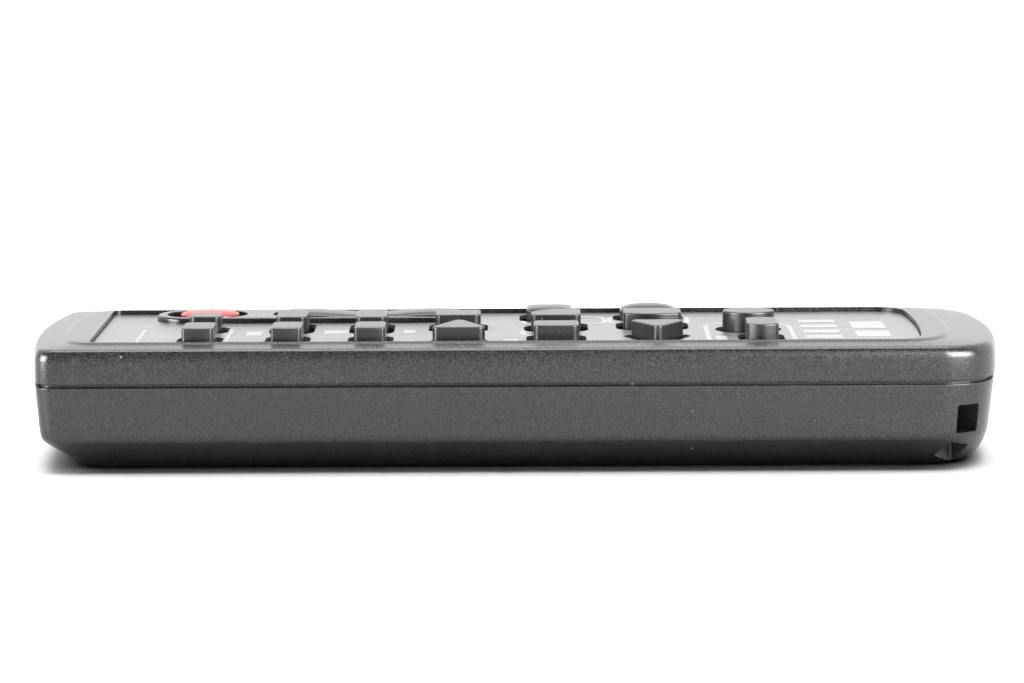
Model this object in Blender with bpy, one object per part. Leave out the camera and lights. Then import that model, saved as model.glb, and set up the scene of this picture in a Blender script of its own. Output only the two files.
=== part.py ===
"""Slim handheld infrared remote control: two-shell case, rubber keys, two cells.

Metres, +Z up, the key side on top. X runs from the head (-X, infrared window) to the
tail (+X, lanyard bar). The origin is at the bottom centre of the case.
"""
import math

import bmesh
import bpy
from mathutils import Matrix, Vector

MM = 0.001

# Case
CASE_HEAD_X = -79.1
CASE_TAIL_X = 80.0
CASE_HALF_WIDTH = 23.5
HEAD_CORNER = 2.6
TAIL_CORNER = 9.0
HEAD_BULGE = 0.19
TAIL_BULGE = 0.20
PARTING_Z = 14.3
PARTING_GAP = 0.55
CASE_TOP_Z = 21.08
WALL = 1.8
FLOOR = 1.5
TONGUE_INSET = 1.0
TONGUE_RISE = 1.4
SHELL_CLEARANCE = 0.2
DECK_UNDERSIDE_Z = 18.3
POCKET_FLOOR_Z = 19.6

# Label plate
PLATE_X = (-68.6, 67.3)
PLATE_HALF_WIDTH = 18.7
PLATE_HEAD_CORNER = 1.2
PLATE_TAIL_CORNER = 5.0
PLATE_TAIL_BULGE = 0.1
PLATE_THICKNESS = 0.6
PLATE_CLEARANCE = 0.1
PLATE_TOP_Z = POCKET_FLOOR_Z + PLATE_CLEARANCE + PLATE_THICKNESS

# Rubber keys
KEY_TOP_Z = 23.0
KEY_HOLE_GAP = 1.25
KEY_FLANGE = 1.9
KEY_FLANGE_Z = (16.8, 18.0)
KEY_STEM_INSET = 0.5
KEY_STEM_BOTTOM_Z = 15.1
KEY_CORNER = 0.95

# Circuit board and key mat
BOARD_Z = (12.9, 14.1)
BOARD_X = (-58.6, 47.6)
BOARD_HALF_WIDTH = 18.2
TONGUE_X = -68.6
TONGUE_HALF_WIDTH = 7.6
MAT_THICKNESS = 0.8
MAT_CLEARANCE = 0.1

# Stadium guard round the record key and the zoom rocker
GUARD_X = (-60.6, -6.5)
GUARD_Y = 12.65
GUARD_WIDTH = 10.0
GUARD_TOP_Z = 21.25
GUARD_WALL = 1.0
GUARD_DIVIDER = (-45.3, -40.9)
GUARD_KEY_GAP = 0.75
GUARD_CLEARANCE = 0.12

# Two R03 cells and their bay
CELL_RADIUS = 5.25
CELL_LENGTH = 44.5
CELL_NUB = 1.0
CELL_Y = 5.6
CELL_Z = 7.3
BAY_X = (10.0, 60.2)
BAY_HALF_WIDTH = 12.6
DOOR_CLEARANCE = 0.2
CONTACT_THICKNESS = 0.35

# Case screws
SCREW_X = (-63.6, 64.4)
SCREW_Y = (12.0, 11.0)
BOSS_RADIUS = 3.6
BOSS_TOP_Z = 14.8
BORE_RADIUS = 2.7
BORE_DEPTH_Z = 8.6
SHANK_RADIUS = 1.0
POST_RADIUS = 2.6
POST_BOTTOM_Z = 15.1

# Lanyard bar in the near tail corner
LANYARD_AT = (71.2, -18.9)
LANYARD_TURN = math.radians(40.0)
LANYARD_SIDE = 3.9
LANYARD_MOUTH_WIDTH = 4.2
LANYARD_MOUTH_Z = (6.2, 10.8)

# Infrared window and emitters
WINDOW_HALF_WIDTH = 9.5
WINDOW_Z = (10.2, 18.0)
EMITTER_RADIUS = 2.5
EMITTER_Y = 4.6
EMITTER_Z = 14.45


def clear_scene():
    for obj in list(bpy.data.objects):
        bpy.data.objects.remove(obj, do_unlink=True)


def material(name, colour, roughness, metallic=0.0):
    mat = bpy.data.materials.new(name)
    mat.use_nodes = True
    shader = mat.node_tree.nodes["Principled BSDF"]
    shader.inputs["Base Color"].default_value = (*colour, 1.0)
    shader.inputs["Roughness"].default_value = roughness
    shader.inputs["Metallic"].default_value = metallic
    mat.diffuse_color = (*colour, 1.0)
    return mat


def add_object(name, bm, mat=None, smooth=None):
    """Turn a bmesh drawn in millimetres into an object in metres."""
    bmesh.ops.recalc_face_normals(bm, faces=bm.faces)
    bmesh.ops.scale(bm, vec=(MM, MM, MM), verts=bm.verts)
    mesh = bpy.data.meshes.new(name)
    bm.to_mesh(mesh)
    bm.free()
    obj = bpy.data.objects.new(name, mesh)
    bpy.context.scene.collection.objects.link(obj)
    if mat is not None:
        mesh.materials.append(mat)
    if smooth is not None:
        mesh.shade_smooth()
        mesh.set_sharp_from_angle(angle=math.radians(smooth))
    return obj


def origin_to(obj, at):
    """Move an object's origin to a point in millimetres without moving its mesh."""
    place = Vector(at) * MM
    obj.data.transform(Matrix.Translation(-place))
    obj.location = place


def as_cutter(obj):
    obj.hide_render = True
    obj.display_type = "WIRE"
    return obj


def boolean(obj, other, operation="DIFFERENCE"):
    mod = obj.modifiers.new(other.name, "BOOLEAN")
    mod.operation = operation
    mod.solver = "EXACT"
    mod.object = other


# ---------------------------------------------------------------- outlines

def arc(cx, cy, radius, start, end, steps):
    points = []
    for i in range(steps + 1):
        a = start + (end - start) * i / steps
        points.append((cx + radius * math.cos(a), cy + radius * math.sin(a)))
    return points


def case_outline(side, head, tail, head_corner, tail_corner, head_steps=3, tail_steps=7, end_steps=6):
    """Plan of the case, anticlockwise: straight sides, bowed ends, rounded corners.

    side, head and tail are how far the outline lies inside the widest one.
    """
    hy = CASE_HALF_WIDTH - side
    points = []
    for sign, tip, corner, bulge, steps in (
            (1, CASE_TAIL_X - tail, tail_corner, TAIL_BULGE, tail_steps),
            (-1, CASE_HEAD_X + head, head_corner, HEAD_BULGE, head_steps)):
        end_radius = (hy - corner) / math.sin(bulge) + corner
        end_x = tip - sign * end_radius
        corner_x = end_x + sign * (end_radius - corner) * math.cos(bulge)
        turn = 0.0 if sign > 0 else math.pi
        points += arc(corner_x, -sign * (hy - corner), corner, turn - math.pi / 2, turn - bulge, steps)
        points += arc(end_x, 0.0, end_radius, turn - bulge, turn + bulge, end_steps)[1:-1]
        points += arc(corner_x, sign * (hy - corner), corner, turn + bulge, turn + math.pi / 2, steps)
    return points


def rounded(corners, radius, steps=2):
    """Round the corners of a convex anticlockwise polygon."""
    points = []
    count = len(corners)
    for i in range(count):
        here = Vector(corners[i])
        before = (Vector(corners[i - 1]) - here).normalized()
        after = (Vector(corners[(i + 1) % count]) - here).normalized()
        half = before.angle(after) / 2
        centre = here + (before + after).normalized() * (radius / math.sin(half))
        first = here + before * (radius / math.tan(half)) - centre
        last = here + after * (radius / math.tan(half)) - centre
        start = math.atan2(first.y, first.x)
        sweep = (math.atan2(last.y, last.x) - start) % (2 * math.pi)
        points += arc(centre.x, centre.y, radius, start, start + sweep, steps)
    return points


def offset(points, distance):
    """Move a convex anticlockwise outline outwards by a distance."""
    count = len(points)
    moved = []
    for i in range(count):
        here = Vector(points[i])
        before = (here - Vector(points[i - 1])).normalized()
        after = (Vector(points[(i + 1) % count]) - here).normalized()
        n1 = Vector((before.y, -before.x))
        n2 = Vector((after.y, -after.x))
        mean = (n1 + n2).normalized()
        step = mean * (distance / max(mean.dot(n1), 0.5))
        moved.append((here.x + step.x, here.y + step.y))
    return moved


def rectangle(cx, cy, wx, wy, radius=KEY_CORNER, steps=2):
    x0, x1, y0, y1 = cx - wx / 2, cx + wx / 2, cy - wy / 2, cy + wy / 2
    return rounded([(x0, y0), (x1, y0), (x1, y1), (x0, y1)], radius, steps)


def stadium(cx, cy, wx, wy, steps=6):
    r = wy / 2
    points = arc(cx + wx / 2 - r, cy, r, -math.pi / 2, math.pi / 2, steps)
    points += arc(cx - wx / 2 + r, cy, r, math.pi / 2, 3 * math.pi / 2, steps)
    return points


def oval(cx, cy, wx, wy, steps):
    around = [2 * math.pi * i / steps for i in range(steps)]
    return [(cx + wx / 2 * math.cos(a), cy + wy / 2 * math.sin(a)) for a in around]


def bowed(cx, cy, wx, wy, bow, radius=KEY_CORNER, far=False):
    """A rectangle whose near side, or far side, bows outwards."""
    half_x, half_y = wx / 2, wy / 2
    front = [(wx * t - half_x, bow - half_y - bow * 4 * t * (1 - t)) for t in (0.0, 0.25, 0.5, 0.75, 1.0)]
    plan = rounded(front + [(half_x, half_y), (-half_x, half_y)], radius, 1)
    side = -1 if far else 1
    return [(cx + side * x, cy + side * y) for x, y in plan]


# ---------------------------------------------------------------- solids

def add_loft(bm, rings):
    """Skin a stack of outlines, each (outline, z), and cap both ends."""
    rows = []
    for outline, z in rings:
        rows.append([bm.verts.new((x, y, z)) for x, y in outline])
    count = len(rows[0])
    for low, high in zip(rows, rows[1:]):
        for i in range(count):
            j = (i + 1) % count
            bm.faces.new((low[i], low[j], high[j], high[i]))
    bm.faces.new(list(reversed(rows[0])))
    bm.faces.new(rows[-1])


def add_box(bm, x0, x1, y0, y1, z0, z1):
    size = (x1 - x0, y1 - y0, z1 - z0)
    middle = ((x0 + x1) / 2, (y0 + y1) / 2, (z0 + z1) / 2)
    place = Matrix.Translation(middle) @ Matrix.Diagonal((*size, 1.0))
    bmesh.ops.create_cube(bm, size=1.0, matrix=place)


def add_cylinder(bm, x, y, z0, z1, radius, steps=18):
    place = Matrix.Translation((x, y, (z0 + z1) / 2))
    bmesh.ops.create_cone(bm, cap_ends=True, segments=steps, radius1=radius, radius2=radius,
                          depth=z1 - z0, matrix=place)


def case_rings(levels):
    rings = []
    for z, side, head, tail, head_corner, tail_corner in levels:
        rings.append((case_outline(side, head, tail, head_corner, tail_corner), z))
    return rings


def boxes(name, *limits):
    bm = bmesh.new()
    for limit in limits:
        add_box(bm, *limit)
    return as_cutter(add_object(name, bm))


# ---------------------------------------------------------------- keys

def apex_far(cx, y0, y1, width):
    return rounded([(cx - width / 2, y0), (cx + width / 2, y0), (cx, y1)], KEY_CORNER, 3)


def apex_near(cx, y0, y1, width):
    return rounded([(cx, y0), (cx + width / 2, y1), (cx - width / 2, y1)], KEY_CORNER, 3)


KEY_PLANS = {
    "key_a1": bowed(-51.2, -13.15, 5.05, 7.6, 0.25),
    "key_a2": bowed(-36.8, -13.1, 4.9, 8.0, 0.2),
    "key_a3": bowed(-23.2, -12.9, 4.95, 7.5, 0.2),
    "key_a4": apex_far(-8.7, -16.3, -6.4, 9.6),
    "key_a5": rectangle(7.2, -11.9, 7.35, 6.0),
    "key_a6": apex_near(23.8, -16.6, -8.3, 9.8),
    "key_a7": bowed(40.8, -12.5, 5.1, 8.4, 1.0),
    "key_b1": rectangle(-51.2, -0.4, 5.1, 5.2),
    "key_b2": rectangle(-36.8, 0.9, 5.05, 9.2),
    "key_b3": rectangle(-23.5, 0.3, 5.05, 8.6),
    "key_b4": rectangle(-9.1, 1.2, 7.4, 6.4),
    "key_b5": rounded([(3.1, -2.4), (11.3, -2.4), (11.3, 4.9), (6.6, 4.9), (3.1, 1.9)], KEY_CORNER, 2),
    "key_b6": bowed(23.3, 1.9, 9.6, 7.0, 1.1),
    "key_b7": oval(39.2, -1.7, 8.5, 7.0, 18),
    "key_c5": rectangle(6.1, 12.4, 7.6, 6.2),
    "key_c6": bowed(22.9, 13.2, 9.4, 6.6, 2.4, far=True),
    "record_key": stadium(-51.7, GUARD_Y, 9.9, GUARD_WIDTH - 2 * GUARD_WALL - 2 * GUARD_KEY_GAP),
}

KEY_DOMES = {"key_c5": 0.4, "key_c6": 0.8, "record_key": 0.6}
KEY_TOPS = {"key_a7": 23.3, "key_b7": 23.55, "key_c5": 22.5, "key_c6": 22.65, "record_key": 21.9}
KEY_FLANGES = {"key_a7": 1.4, "key_b7": 1.5, "record_key": 1.4}

ROCKER_X = (GUARD_DIVIDER[1] + 1.1, GUARD_X[1] - GUARD_WALL - 1.1)
ROCKER_MIDDLE = (ROCKER_X[0] + ROCKER_X[1]) / 2
ROCKER_WIDTH = GUARD_WIDTH - 2 * GUARD_WALL - 2 * GUARD_KEY_GAP
ROCKER_PLAN = stadium(ROCKER_MIDDLE, GUARD_Y, ROCKER_X[1] - ROCKER_X[0], ROCKER_WIDTH)
ROCKER_PIVOT_Z = 15.95
ROCKER_TOP_Z = 21.3


def make_key(name, plan, mat):
    """A moulded key: contact stem, retaining flange under the deck, and cap."""
    top = KEY_TOPS.get(name, KEY_TOP_Z)
    dome = KEY_DOMES.get(name, 0.0)
    flange = KEY_FLANGES.get(name, KEY_FLANGE)
    rings = [
        (offset(plan, -KEY_STEM_INSET), KEY_STEM_BOTTOM_Z),
        (offset(plan, -KEY_STEM_INSET), KEY_FLANGE_Z[0]),
        (offset(plan, flange), KEY_FLANGE_Z[0]),
        (offset(plan, flange), KEY_FLANGE_Z[1]),
        (offset(plan, 0.12), KEY_FLANGE_Z[1]),
    ]
    if dome:
        middle = sum((Vector(p) for p in plan), Vector((0, 0))) / len(plan)
        rings.append((plan, top - dome - 0.1))
        for part, rise in ((0.94, 0.25), (0.8, 0.6), (0.55, 0.86), (0.25, 0.98)):
            shrunk = [tuple(middle + (Vector(p) - middle) * part) for p in plan]
            rings.append((shrunk, top - dome + dome * rise))
    else:
        rings.append((plan, top - 0.2))
        rings.append((offset(plan, -0.06), top - 0.06))
        rings.append((offset(plan, -0.22), top))
    bm = bmesh.new()
    add_loft(bm, rings)
    key = add_object(name, bm, mat, smooth=35)
    centre = sum((Vector(p) for p in plan), Vector((0, 0))) / len(plan)
    origin_to(key, (centre.x, centre.y, KEY_FLANGE_Z[1]))
    return key


def make_rocker(mat):
    """Zoom rocker: one bar, both ends raised, rocking on a round foot at its middle."""
    half = (ROCKER_X[1] - ROCKER_X[0]) / 2
    wide = ROCKER_WIDTH / 2
    steps = 16
    bm = bmesh.new()
    rows = []
    for i in range(steps + 1):
        t = -1 + 2 * i / steps
        t = math.copysign(1 - (1 - abs(t)) ** 1.5, t) if abs(t) > 0.5 else t * 2 * (1 - 0.5 ** 1.5)
        x = ROCKER_MIDDLE + t * half
        end = half - abs(t) * half
        y = wide * math.sqrt(max(0.06, min(1.0, 1 - ((wide - end) / wide) ** 2))) if end < wide else wide
        top = ROCKER_TOP_Z + 0.55 * (1 - math.cos(math.pi * min(1.0, abs(t) * 1.5))) / 2
        top -= 0.45 * max(0.0, (abs(t) - 0.86) / 0.14) ** 2
        section = [(-y, 16.9), (y, 16.9), (y, top - 0.5), (y * 0.9, top - 0.16), (y * 0.6, top),
                   (-y * 0.6, top), (-y * 0.9, top - 0.16), (-y, top - 0.5)]
        rows.append([bm.verts.new((x, GUARD_Y + v, z)) for v, z in section])
    count = len(rows[0])
    for low, high in zip(rows, rows[1:]):
        for i in range(count):
            j = (i + 1) % count
            bm.faces.new((low[i], low[j], high[j], high[i]))
    bm.faces.new(rows[0])
    bm.faces.new(rows[-1])
    rocker = add_object("zoom_rocker", bm, mat, smooth=40)
    bm = bmesh.new()
    for side in (-1, 1):
        x = ROCKER_MIDDLE + side * (half - 3.6)
        add_cylinder(bm, x, GUARD_Y, KEY_STEM_BOTTOM_Z + 0.15, 17.4, 2.0, 16)
    foot = [(ROCKER_MIDDLE + u, w) for u, w in arc(0.0, ROCKER_PIVOT_Z, 0.8, math.pi, 2 * math.pi, 8)]
    foot += [(ROCKER_MIDDLE + 0.8, 17.4), (ROCKER_MIDDLE - 0.8, 17.4)]
    near = [bm.verts.new((u, GUARD_Y - 2.2, w)) for u, w in foot]
    far = [bm.verts.new((u, GUARD_Y + 2.2, w)) for u, w in foot]
    for i in range(len(foot)):
        j = (i + 1) % len(foot)
        bm.faces.new((near[i], near[j], far[j], far[i]))
    bm.faces.new(near)
    bm.faces.new(list(reversed(far)))
    feet = as_cutter(add_object("rocker_feet_tool", bm))
    boolean(rocker, feet, "UNION")
    origin_to(rocker, (ROCKER_MIDDLE, GUARD_Y, ROCKER_PIVOT_Z))
    return rocker


# ---------------------------------------------------------------- case

def key_hole_tool():
    """One prism for each key, wider than the key all round."""
    bm = bmesh.new()
    for name, plan in KEY_PLANS.items():
        if name != "record_key":
            hole = offset(plan, KEY_HOLE_GAP)
            add_loft(bm, [(hole, DECK_UNDERSIDE_Z - 0.8), (hole, CASE_TOP_Z + 0.6)])
    return as_cutter(add_object("key_hole_tool", bm))


def guard_openings(grow, z0, z1, name):
    y_size = GUARD_WIDTH - 2 * GUARD_WALL + 2 * grow
    first = (GUARD_X[0] + GUARD_WALL + 0.6, GUARD_DIVIDER[0])
    second = (GUARD_DIVIDER[1], GUARD_X[1] - GUARD_WALL)
    bm = bmesh.new()
    for x0, x1 in (first, second):
        plan = stadium((x0 + x1) / 2, GUARD_Y, x1 - x0 + 2 * grow, y_size)
        add_loft(bm, [(plan, z0), (plan, z1)])
    return as_cutter(add_object(name, bm))


def window_plan(gap):
    """Plan of the window: the bow of the head outside, straight inside, with side ears."""
    hy = CASE_HALF_WIDTH
    radius = (hy - HEAD_CORNER) / math.sin(HEAD_BULGE) + HEAD_CORNER
    centre = CASE_HEAD_X + radius
    half = WINDOW_HALF_WIDTH + gap
    outer = [(centre - math.sqrt(radius ** 2 - (half * t) ** 2), half * t)
             for t in (-1.0, -0.6, -0.2, 0.2, 0.6, 1.0)]
    inner = CASE_HEAD_X + WALL + 0.6 + gap
    if gap:
        outer = [(x - 2.0, y) for x, y in outer]
    return list(reversed(outer)) + [(inner, -half), (inner, half)]


def make_front_shell(mat, holes, guard_hole):
    levels = [
        (PARTING_Z + PARTING_GAP, 0.12, 0.12, 0.12, HEAD_CORNER, TAIL_CORNER),
        (PARTING_Z + PARTING_GAP + 0.15, 0.0, 0.0, 0.0, HEAD_CORNER, TAIL_CORNER),
        (18.7, 0.04, 0.04, 0.07, HEAD_CORNER, TAIL_CORNER),
        (19.45, 0.2, 0.22, 0.33, HEAD_CORNER, TAIL_CORNER),
        (20.0, 0.52, 0.56, 0.8, HEAD_CORNER, TAIL_CORNER),
        (20.36, 1.02, 1.07, 1.5, HEAD_CORNER, TAIL_CORNER),
        (20.55, 1.75, 1.8, 2.5, HEAD_CORNER, TAIL_CORNER),
        (CASE_TOP_Z - 0.32, 4.1, 5.2, 7.85, 3.8, 7.6),
        (CASE_TOP_Z - 0.1, 4.16, 5.26, 7.91, 3.8, 7.6),
        (CASE_TOP_Z - 0.02, 4.28, 5.38, 8.03, 3.8, 7.6),
        (CASE_TOP_Z, 4.5, 5.6, 8.25, 3.8, 7.6),
    ]
    bm = bmesh.new()
    add_loft(bm, case_rings(levels))
    shell = add_object("front_shell", bm, mat, smooth=50)
    skirt = TONGUE_INSET - SHELL_CLEARANCE
    lip_z = PARTING_Z + TONGUE_RISE + 0.3
    cavity_levels = [
        (PARTING_Z - 0.4, skirt, skirt, skirt, HEAD_CORNER - skirt, TAIL_CORNER - skirt),
        (lip_z, skirt, skirt, skirt, HEAD_CORNER - skirt, TAIL_CORNER - skirt),
        (lip_z, WALL, WALL, WALL, HEAD_CORNER - WALL, TAIL_CORNER - WALL),
        (DECK_UNDERSIDE_Z, WALL, WALL, WALL, HEAD_CORNER - WALL, TAIL_CORNER - WALL),
    ]
    bm = bmesh.new()
    add_loft(bm, case_rings(cavity_levels))
    cavity = as_cutter(add_object("front_cavity_tool", bm))
    bm = bmesh.new()
    for x, y in screw_places():
        add_cylinder(bm, x, y, POST_BOTTOM_Z, DECK_UNDERSIDE_Z + 0.4, POST_RADIUS)
    boolean(cavity, as_cutter(add_object("post_tool", bm)))
    boolean(shell, cavity)
    pocket = plate_plan(PLATE_CLEARANCE)
    bm = bmesh.new()
    add_loft(bm, [(pocket, POCKET_FLOOR_Z), (pocket, CASE_TOP_Z + 0.6)])
    boolean(shell, as_cutter(add_object("plate_pocket_tool", bm)))
    boolean(shell, holes)
    boolean(shell, guard_hole)
    bm = bmesh.new()
    for x, y in screw_places():
        add_cylinder(bm, x, y, POST_BOTTOM_Z - 0.5, 17.9, SHANK_RADIUS + 0.06, 16)
    boolean(shell, as_cutter(add_object("pilot_tool", bm)))
    return shell


def plate_plan(grow):
    """Plan of the label plate: square at the head, bowed and rounder at the tail."""
    x0, x1 = PLATE_X[0] - grow, PLATE_X[1] + grow
    half = PLATE_HALF_WIDTH + grow
    head, tail = PLATE_HEAD_CORNER + grow, PLATE_TAIL_CORNER + grow
    bulge = PLATE_TAIL_BULGE
    end_radius = (half - tail) / math.sin(bulge) + tail
    end_x = x1 - end_radius
    tail_x = end_x + (end_radius - tail) * math.cos(bulge)
    quarter = math.pi / 2
    points = arc(x0 + head, head - half, head, -2 * quarter, -quarter, 5)
    points += arc(tail_x, tail - half, tail, -quarter, -bulge, 5)
    points += arc(end_x, 0.0, end_radius, -bulge, bulge, 4)[1:-1]
    points += arc(tail_x, half - tail, tail, bulge, quarter, 5)
    return points + arc(x0 + head, half - head, head, quarter, 2 * quarter, 5)


def screw_places():
    places = []
    for x, y in zip(SCREW_X, SCREW_Y):
        places += [(x, -y), (x, y)]
    return places


def make_rear_shell(mat):
    tongue = TONGUE_INSET
    lip = HEAD_CORNER - tongue
    levels = [
        (0.0, 7.9, 9.2, 7.2, 2.6, 6.4),
        (0.12, 7.1, 8.2, 5.8, 2.6, 7.0),
        (0.5, 6.5, 7.1, 4.3, 2.7, 7.4),
        (1.2, 5.7, 6.15, 3.2, 2.8, 7.8),
        (2.7, 3.95, 4.2, 2.1, 2.9, 8.2),
        (4.2, 2.15, 2.2, 1.5, 2.9, 8.6),
        (5.0, 1.1, 1.3, 1.3, 2.9, 8.8),
        (5.6, 0.6, 0.85, 1.1, 2.8, TAIL_CORNER),
        (6.6, 0.4, 0.55, 0.95, HEAD_CORNER, TAIL_CORNER),
        (PARTING_Z - 0.15, 0.0, 0.0, 0.2, HEAD_CORNER, TAIL_CORNER),
        (PARTING_Z, 0.12, 0.12, 0.32, HEAD_CORNER, TAIL_CORNER),
        (PARTING_Z, tongue, tongue, tongue, lip, TAIL_CORNER - tongue),
        (PARTING_Z + TONGUE_RISE, tongue, tongue, tongue, lip, TAIL_CORNER - tongue),
    ]
    bm = bmesh.new()
    add_loft(bm, case_rings(levels))
    shell = add_object("rear_shell", bm, mat, smooth=50)
    inner = HEAD_CORNER - WALL
    cavity_levels = [
        (FLOOR, 9.2, 11.0, 7.0, inner, 5.0),
        (6.4, 2.4, 3.0, 3.0, inner, TAIL_CORNER - WALL),
        (PARTING_Z - 2.0, WALL + 0.1, WALL + 0.1, WALL + 0.1, inner, TAIL_CORNER - WALL),
        (PARTING_Z + TONGUE_RISE + 0.5, WALL, WALL, WALL, inner, TAIL_CORNER - WALL),
    ]
    bm = bmesh.new()
    add_loft(bm, case_rings(cavity_levels))
    cavity = as_cutter(add_object("rear_cavity_tool", bm))
    bm = bmesh.new()
    for x, y in screw_places():
        add_cylinder(bm, x, y, FLOOR - 0.5, BOSS_TOP_Z, BOSS_RADIUS, 24)
    boolean(cavity, as_cutter(add_object("boss_tool", bm)))
    rest = BOARD_Z[0] - 0.15
    low = FLOOR - 0.5
    walls = boxes("wall_tool",
                  (BAY_X[0] - 1.4, BAY_X[0] - 0.2, -22.5, 22.5, low, rest),
                  (BAY_X[1] + 0.2, BAY_X[1] + 1.4, -22.5, 22.5, low, rest),
                  (-16.6, -15.6, -22.5, 22.5, low, rest),
                  (-42.6, -41.6, -22.5, 22.5, low, rest),
                  (BAY_X[0] + 0.2, BAY_X[1] - 0.2, -BAY_HALF_WIDTH - 1.2, -BAY_HALF_WIDTH - 0.1, low, rest),
                  (BAY_X[0] + 0.2, BAY_X[1] - 0.2, BAY_HALF_WIDTH + 0.1, BAY_HALF_WIDTH + 1.2, low, rest))
    boolean(cavity, walls)
    corner = boxes("lanyard_block_tool", (65.2, 81.5, -25.0, -13.4, low, PARTING_Z - 0.6))
    boolean(cavity, corner)
    boolean(shell, cavity)
    door_hole = boxes("door_hole_tool",
                      (BAY_X[0], BAY_X[1], -BAY_HALF_WIDTH, BAY_HALF_WIDTH, -1.0, FLOOR + 0.3))
    boolean(shell, door_hole)
    slots = boxes("door_slot_tool",
                  (BAY_X[0] - 2.2, BAY_X[0] + 1.0, -12.5, -9.7, FLOOR + 0.05, 6.6),
                  (BAY_X[0] - 2.2, BAY_X[0] + 1.0, 9.7, 12.5, FLOOR + 0.05, 6.6))
    boolean(shell, slots)
    bm = bmesh.new()
    for x, y in screw_places():
        add_cylinder(bm, x, y, -1.0, BORE_DEPTH_Z, BORE_RADIUS)
    boolean(shell, as_cutter(add_object("screw_bore_tool", bm)))
    bm = bmesh.new()
    for x, y in screw_places():
        add_cylinder(bm, x, y, BORE_DEPTH_Z - 0.5, BOSS_TOP_Z + 0.5, SHANK_RADIUS + 0.25, 16)
    boolean(shell, as_cutter(add_object("screw_hole_tool", bm)))
    boolean(shell, lanyard_tool())
    bm = bmesh.new()
    place = Matrix.Translation((BAY_X[1] + 0.6, 0.0, -0.7)) @ Matrix.Diagonal((3.4, 5.0, 1.5, 1.0))
    bmesh.ops.create_uvsphere(bm, u_segments=20, v_segments=10, radius=1.0, matrix=place)
    boolean(shell, as_cutter(add_object("finger_notch_tool", bm)))
    return shell


def lanyard_tool():
    """Two square tunnels that meet behind the bar the lanyard loops round."""
    x, y = LANYARD_AT
    half = LANYARD_SIDE / 2
    turn = Matrix.Translation((x, y, 0.0)) @ Matrix.Rotation(LANYARD_TURN, 4, "Z")
    z0, z1 = LANYARD_MOUTH_Z
    bm = bmesh.new()
    add_box(bm, -half, half, -half, half, -1.0, z1 - 0.3)
    bmesh.ops.transform(bm, matrix=turn, verts=bm.verts)
    upright = as_cutter(add_object("lanyard_upright_tool", bm))
    bm = bmesh.new()
    wide = LANYARD_MOUTH_WIDTH / 2
    add_box(bm, -wide, wide, -9.0, half, z0, z1)
    bmesh.ops.transform(bm, matrix=turn, verts=bm.verts)
    side = as_cutter(add_object("lanyard_side_tool", bm))
    boolean(upright, side, "UNION")
    return upright


def make_door(mat):
    """Battery door: flat panel with two hinge tabs at the head end and a latch tongue."""
    gap = DOOR_CLEARANCE
    x0, x1 = BAY_X[0] + gap, BAY_X[1] - gap
    half = BAY_HALF_WIDTH - gap
    bm = bmesh.new()
    plan = rectangle((x0 + x1) / 2, 0.0, x1 - x0, 2 * half, 0.5, 2)
    add_loft(bm, [(offset(plan, -0.12), 0.0), (plan, 0.12), (plan, FLOOR - 0.05)])
    door = add_object("battery_door", bm, mat, smooth=40)
    tabs = []
    feet = []
    for side in (-1, 1):
        y0, y1 = sorted((side * 9.9, side * 12.2))
        tabs.append((BAY_X[0] - 1.3, x0 + 1.6, y0, y1, FLOOR + 0.15, FLOOR + 1.1))
        feet.append((x0 + 0.5, x0 + 1.5, y0 + 0.05, y1 - 0.05, FLOOR - 0.4, FLOOR + 0.6))
    boolean(door, boxes("door_foot_tool", *feet), "UNION")
    boolean(door, boxes("door_tab_tool", *tabs), "UNION")
    latch = boxes("door_latch_tool", (x1 - 0.95, x1 - 0.05, -4.0, 4.0, FLOOR - 0.5, 3.9))
    boolean(door, latch, "UNION")
    grip = []
    for i in range(5):
        x = x1 - 5.0 - i * 1.5
        grip.append((x - 0.35, x + 0.35, -6.0 + i * 0.9, 6.0 - i * 0.9, -0.5, 0.35))
    boolean(door, boxes("door_grip_tool", *grip))
    origin_to(door, (BAY_X[0], 0.0, 0.0))
    return door


def make_plate(mat, holes):
    plan = plate_plan(0.0)
    low = POCKET_FLOOR_Z + PLATE_CLEARANCE
    bm = bmesh.new()
    add_loft(bm, [(plan, low), (plan, PLATE_TOP_Z)])
    plate = add_object("face_plate", bm, mat)
    boolean(plate, holes)
    bm = bmesh.new()
    seat = guard_plan(GUARD_CLEARANCE)
    add_loft(bm, [(seat, low - 0.5), (seat, CASE_TOP_Z + 0.5)])
    boolean(plate, as_cutter(add_object("guard_seat_tool", bm)))
    return plate


def guard_plan(grow):
    x0, x1 = GUARD_X
    return stadium((x0 + x1) / 2, GUARD_Y, x1 - x0 + 2 * grow, GUARD_WIDTH + 2 * grow, 10)


def make_guard(mat, opening):
    bm = bmesh.new()
    low = POCKET_FLOOR_Z + PLATE_CLEARANCE
    add_loft(bm, [
        (guard_plan(0.0), low),
        (guard_plan(0.0), GUARD_TOP_Z - 0.45),
        (guard_plan(-0.1), GUARD_TOP_Z - 0.15),
        (guard_plan(-0.32), GUARD_TOP_Z),
    ])
    guard = add_object("key_guard", bm, mat, smooth=50)
    boolean(guard, opening)
    return guard


def make_window(mat):
    bm = bmesh.new()
    plan = window_plan(0.0)
    z0, z1 = WINDOW_Z
    add_loft(bm, [(plan, z0), (plan, z1)])
    return add_object("ir_window", bm, mat, smooth=30)


# ---------------------------------------------------------------- inside

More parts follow.
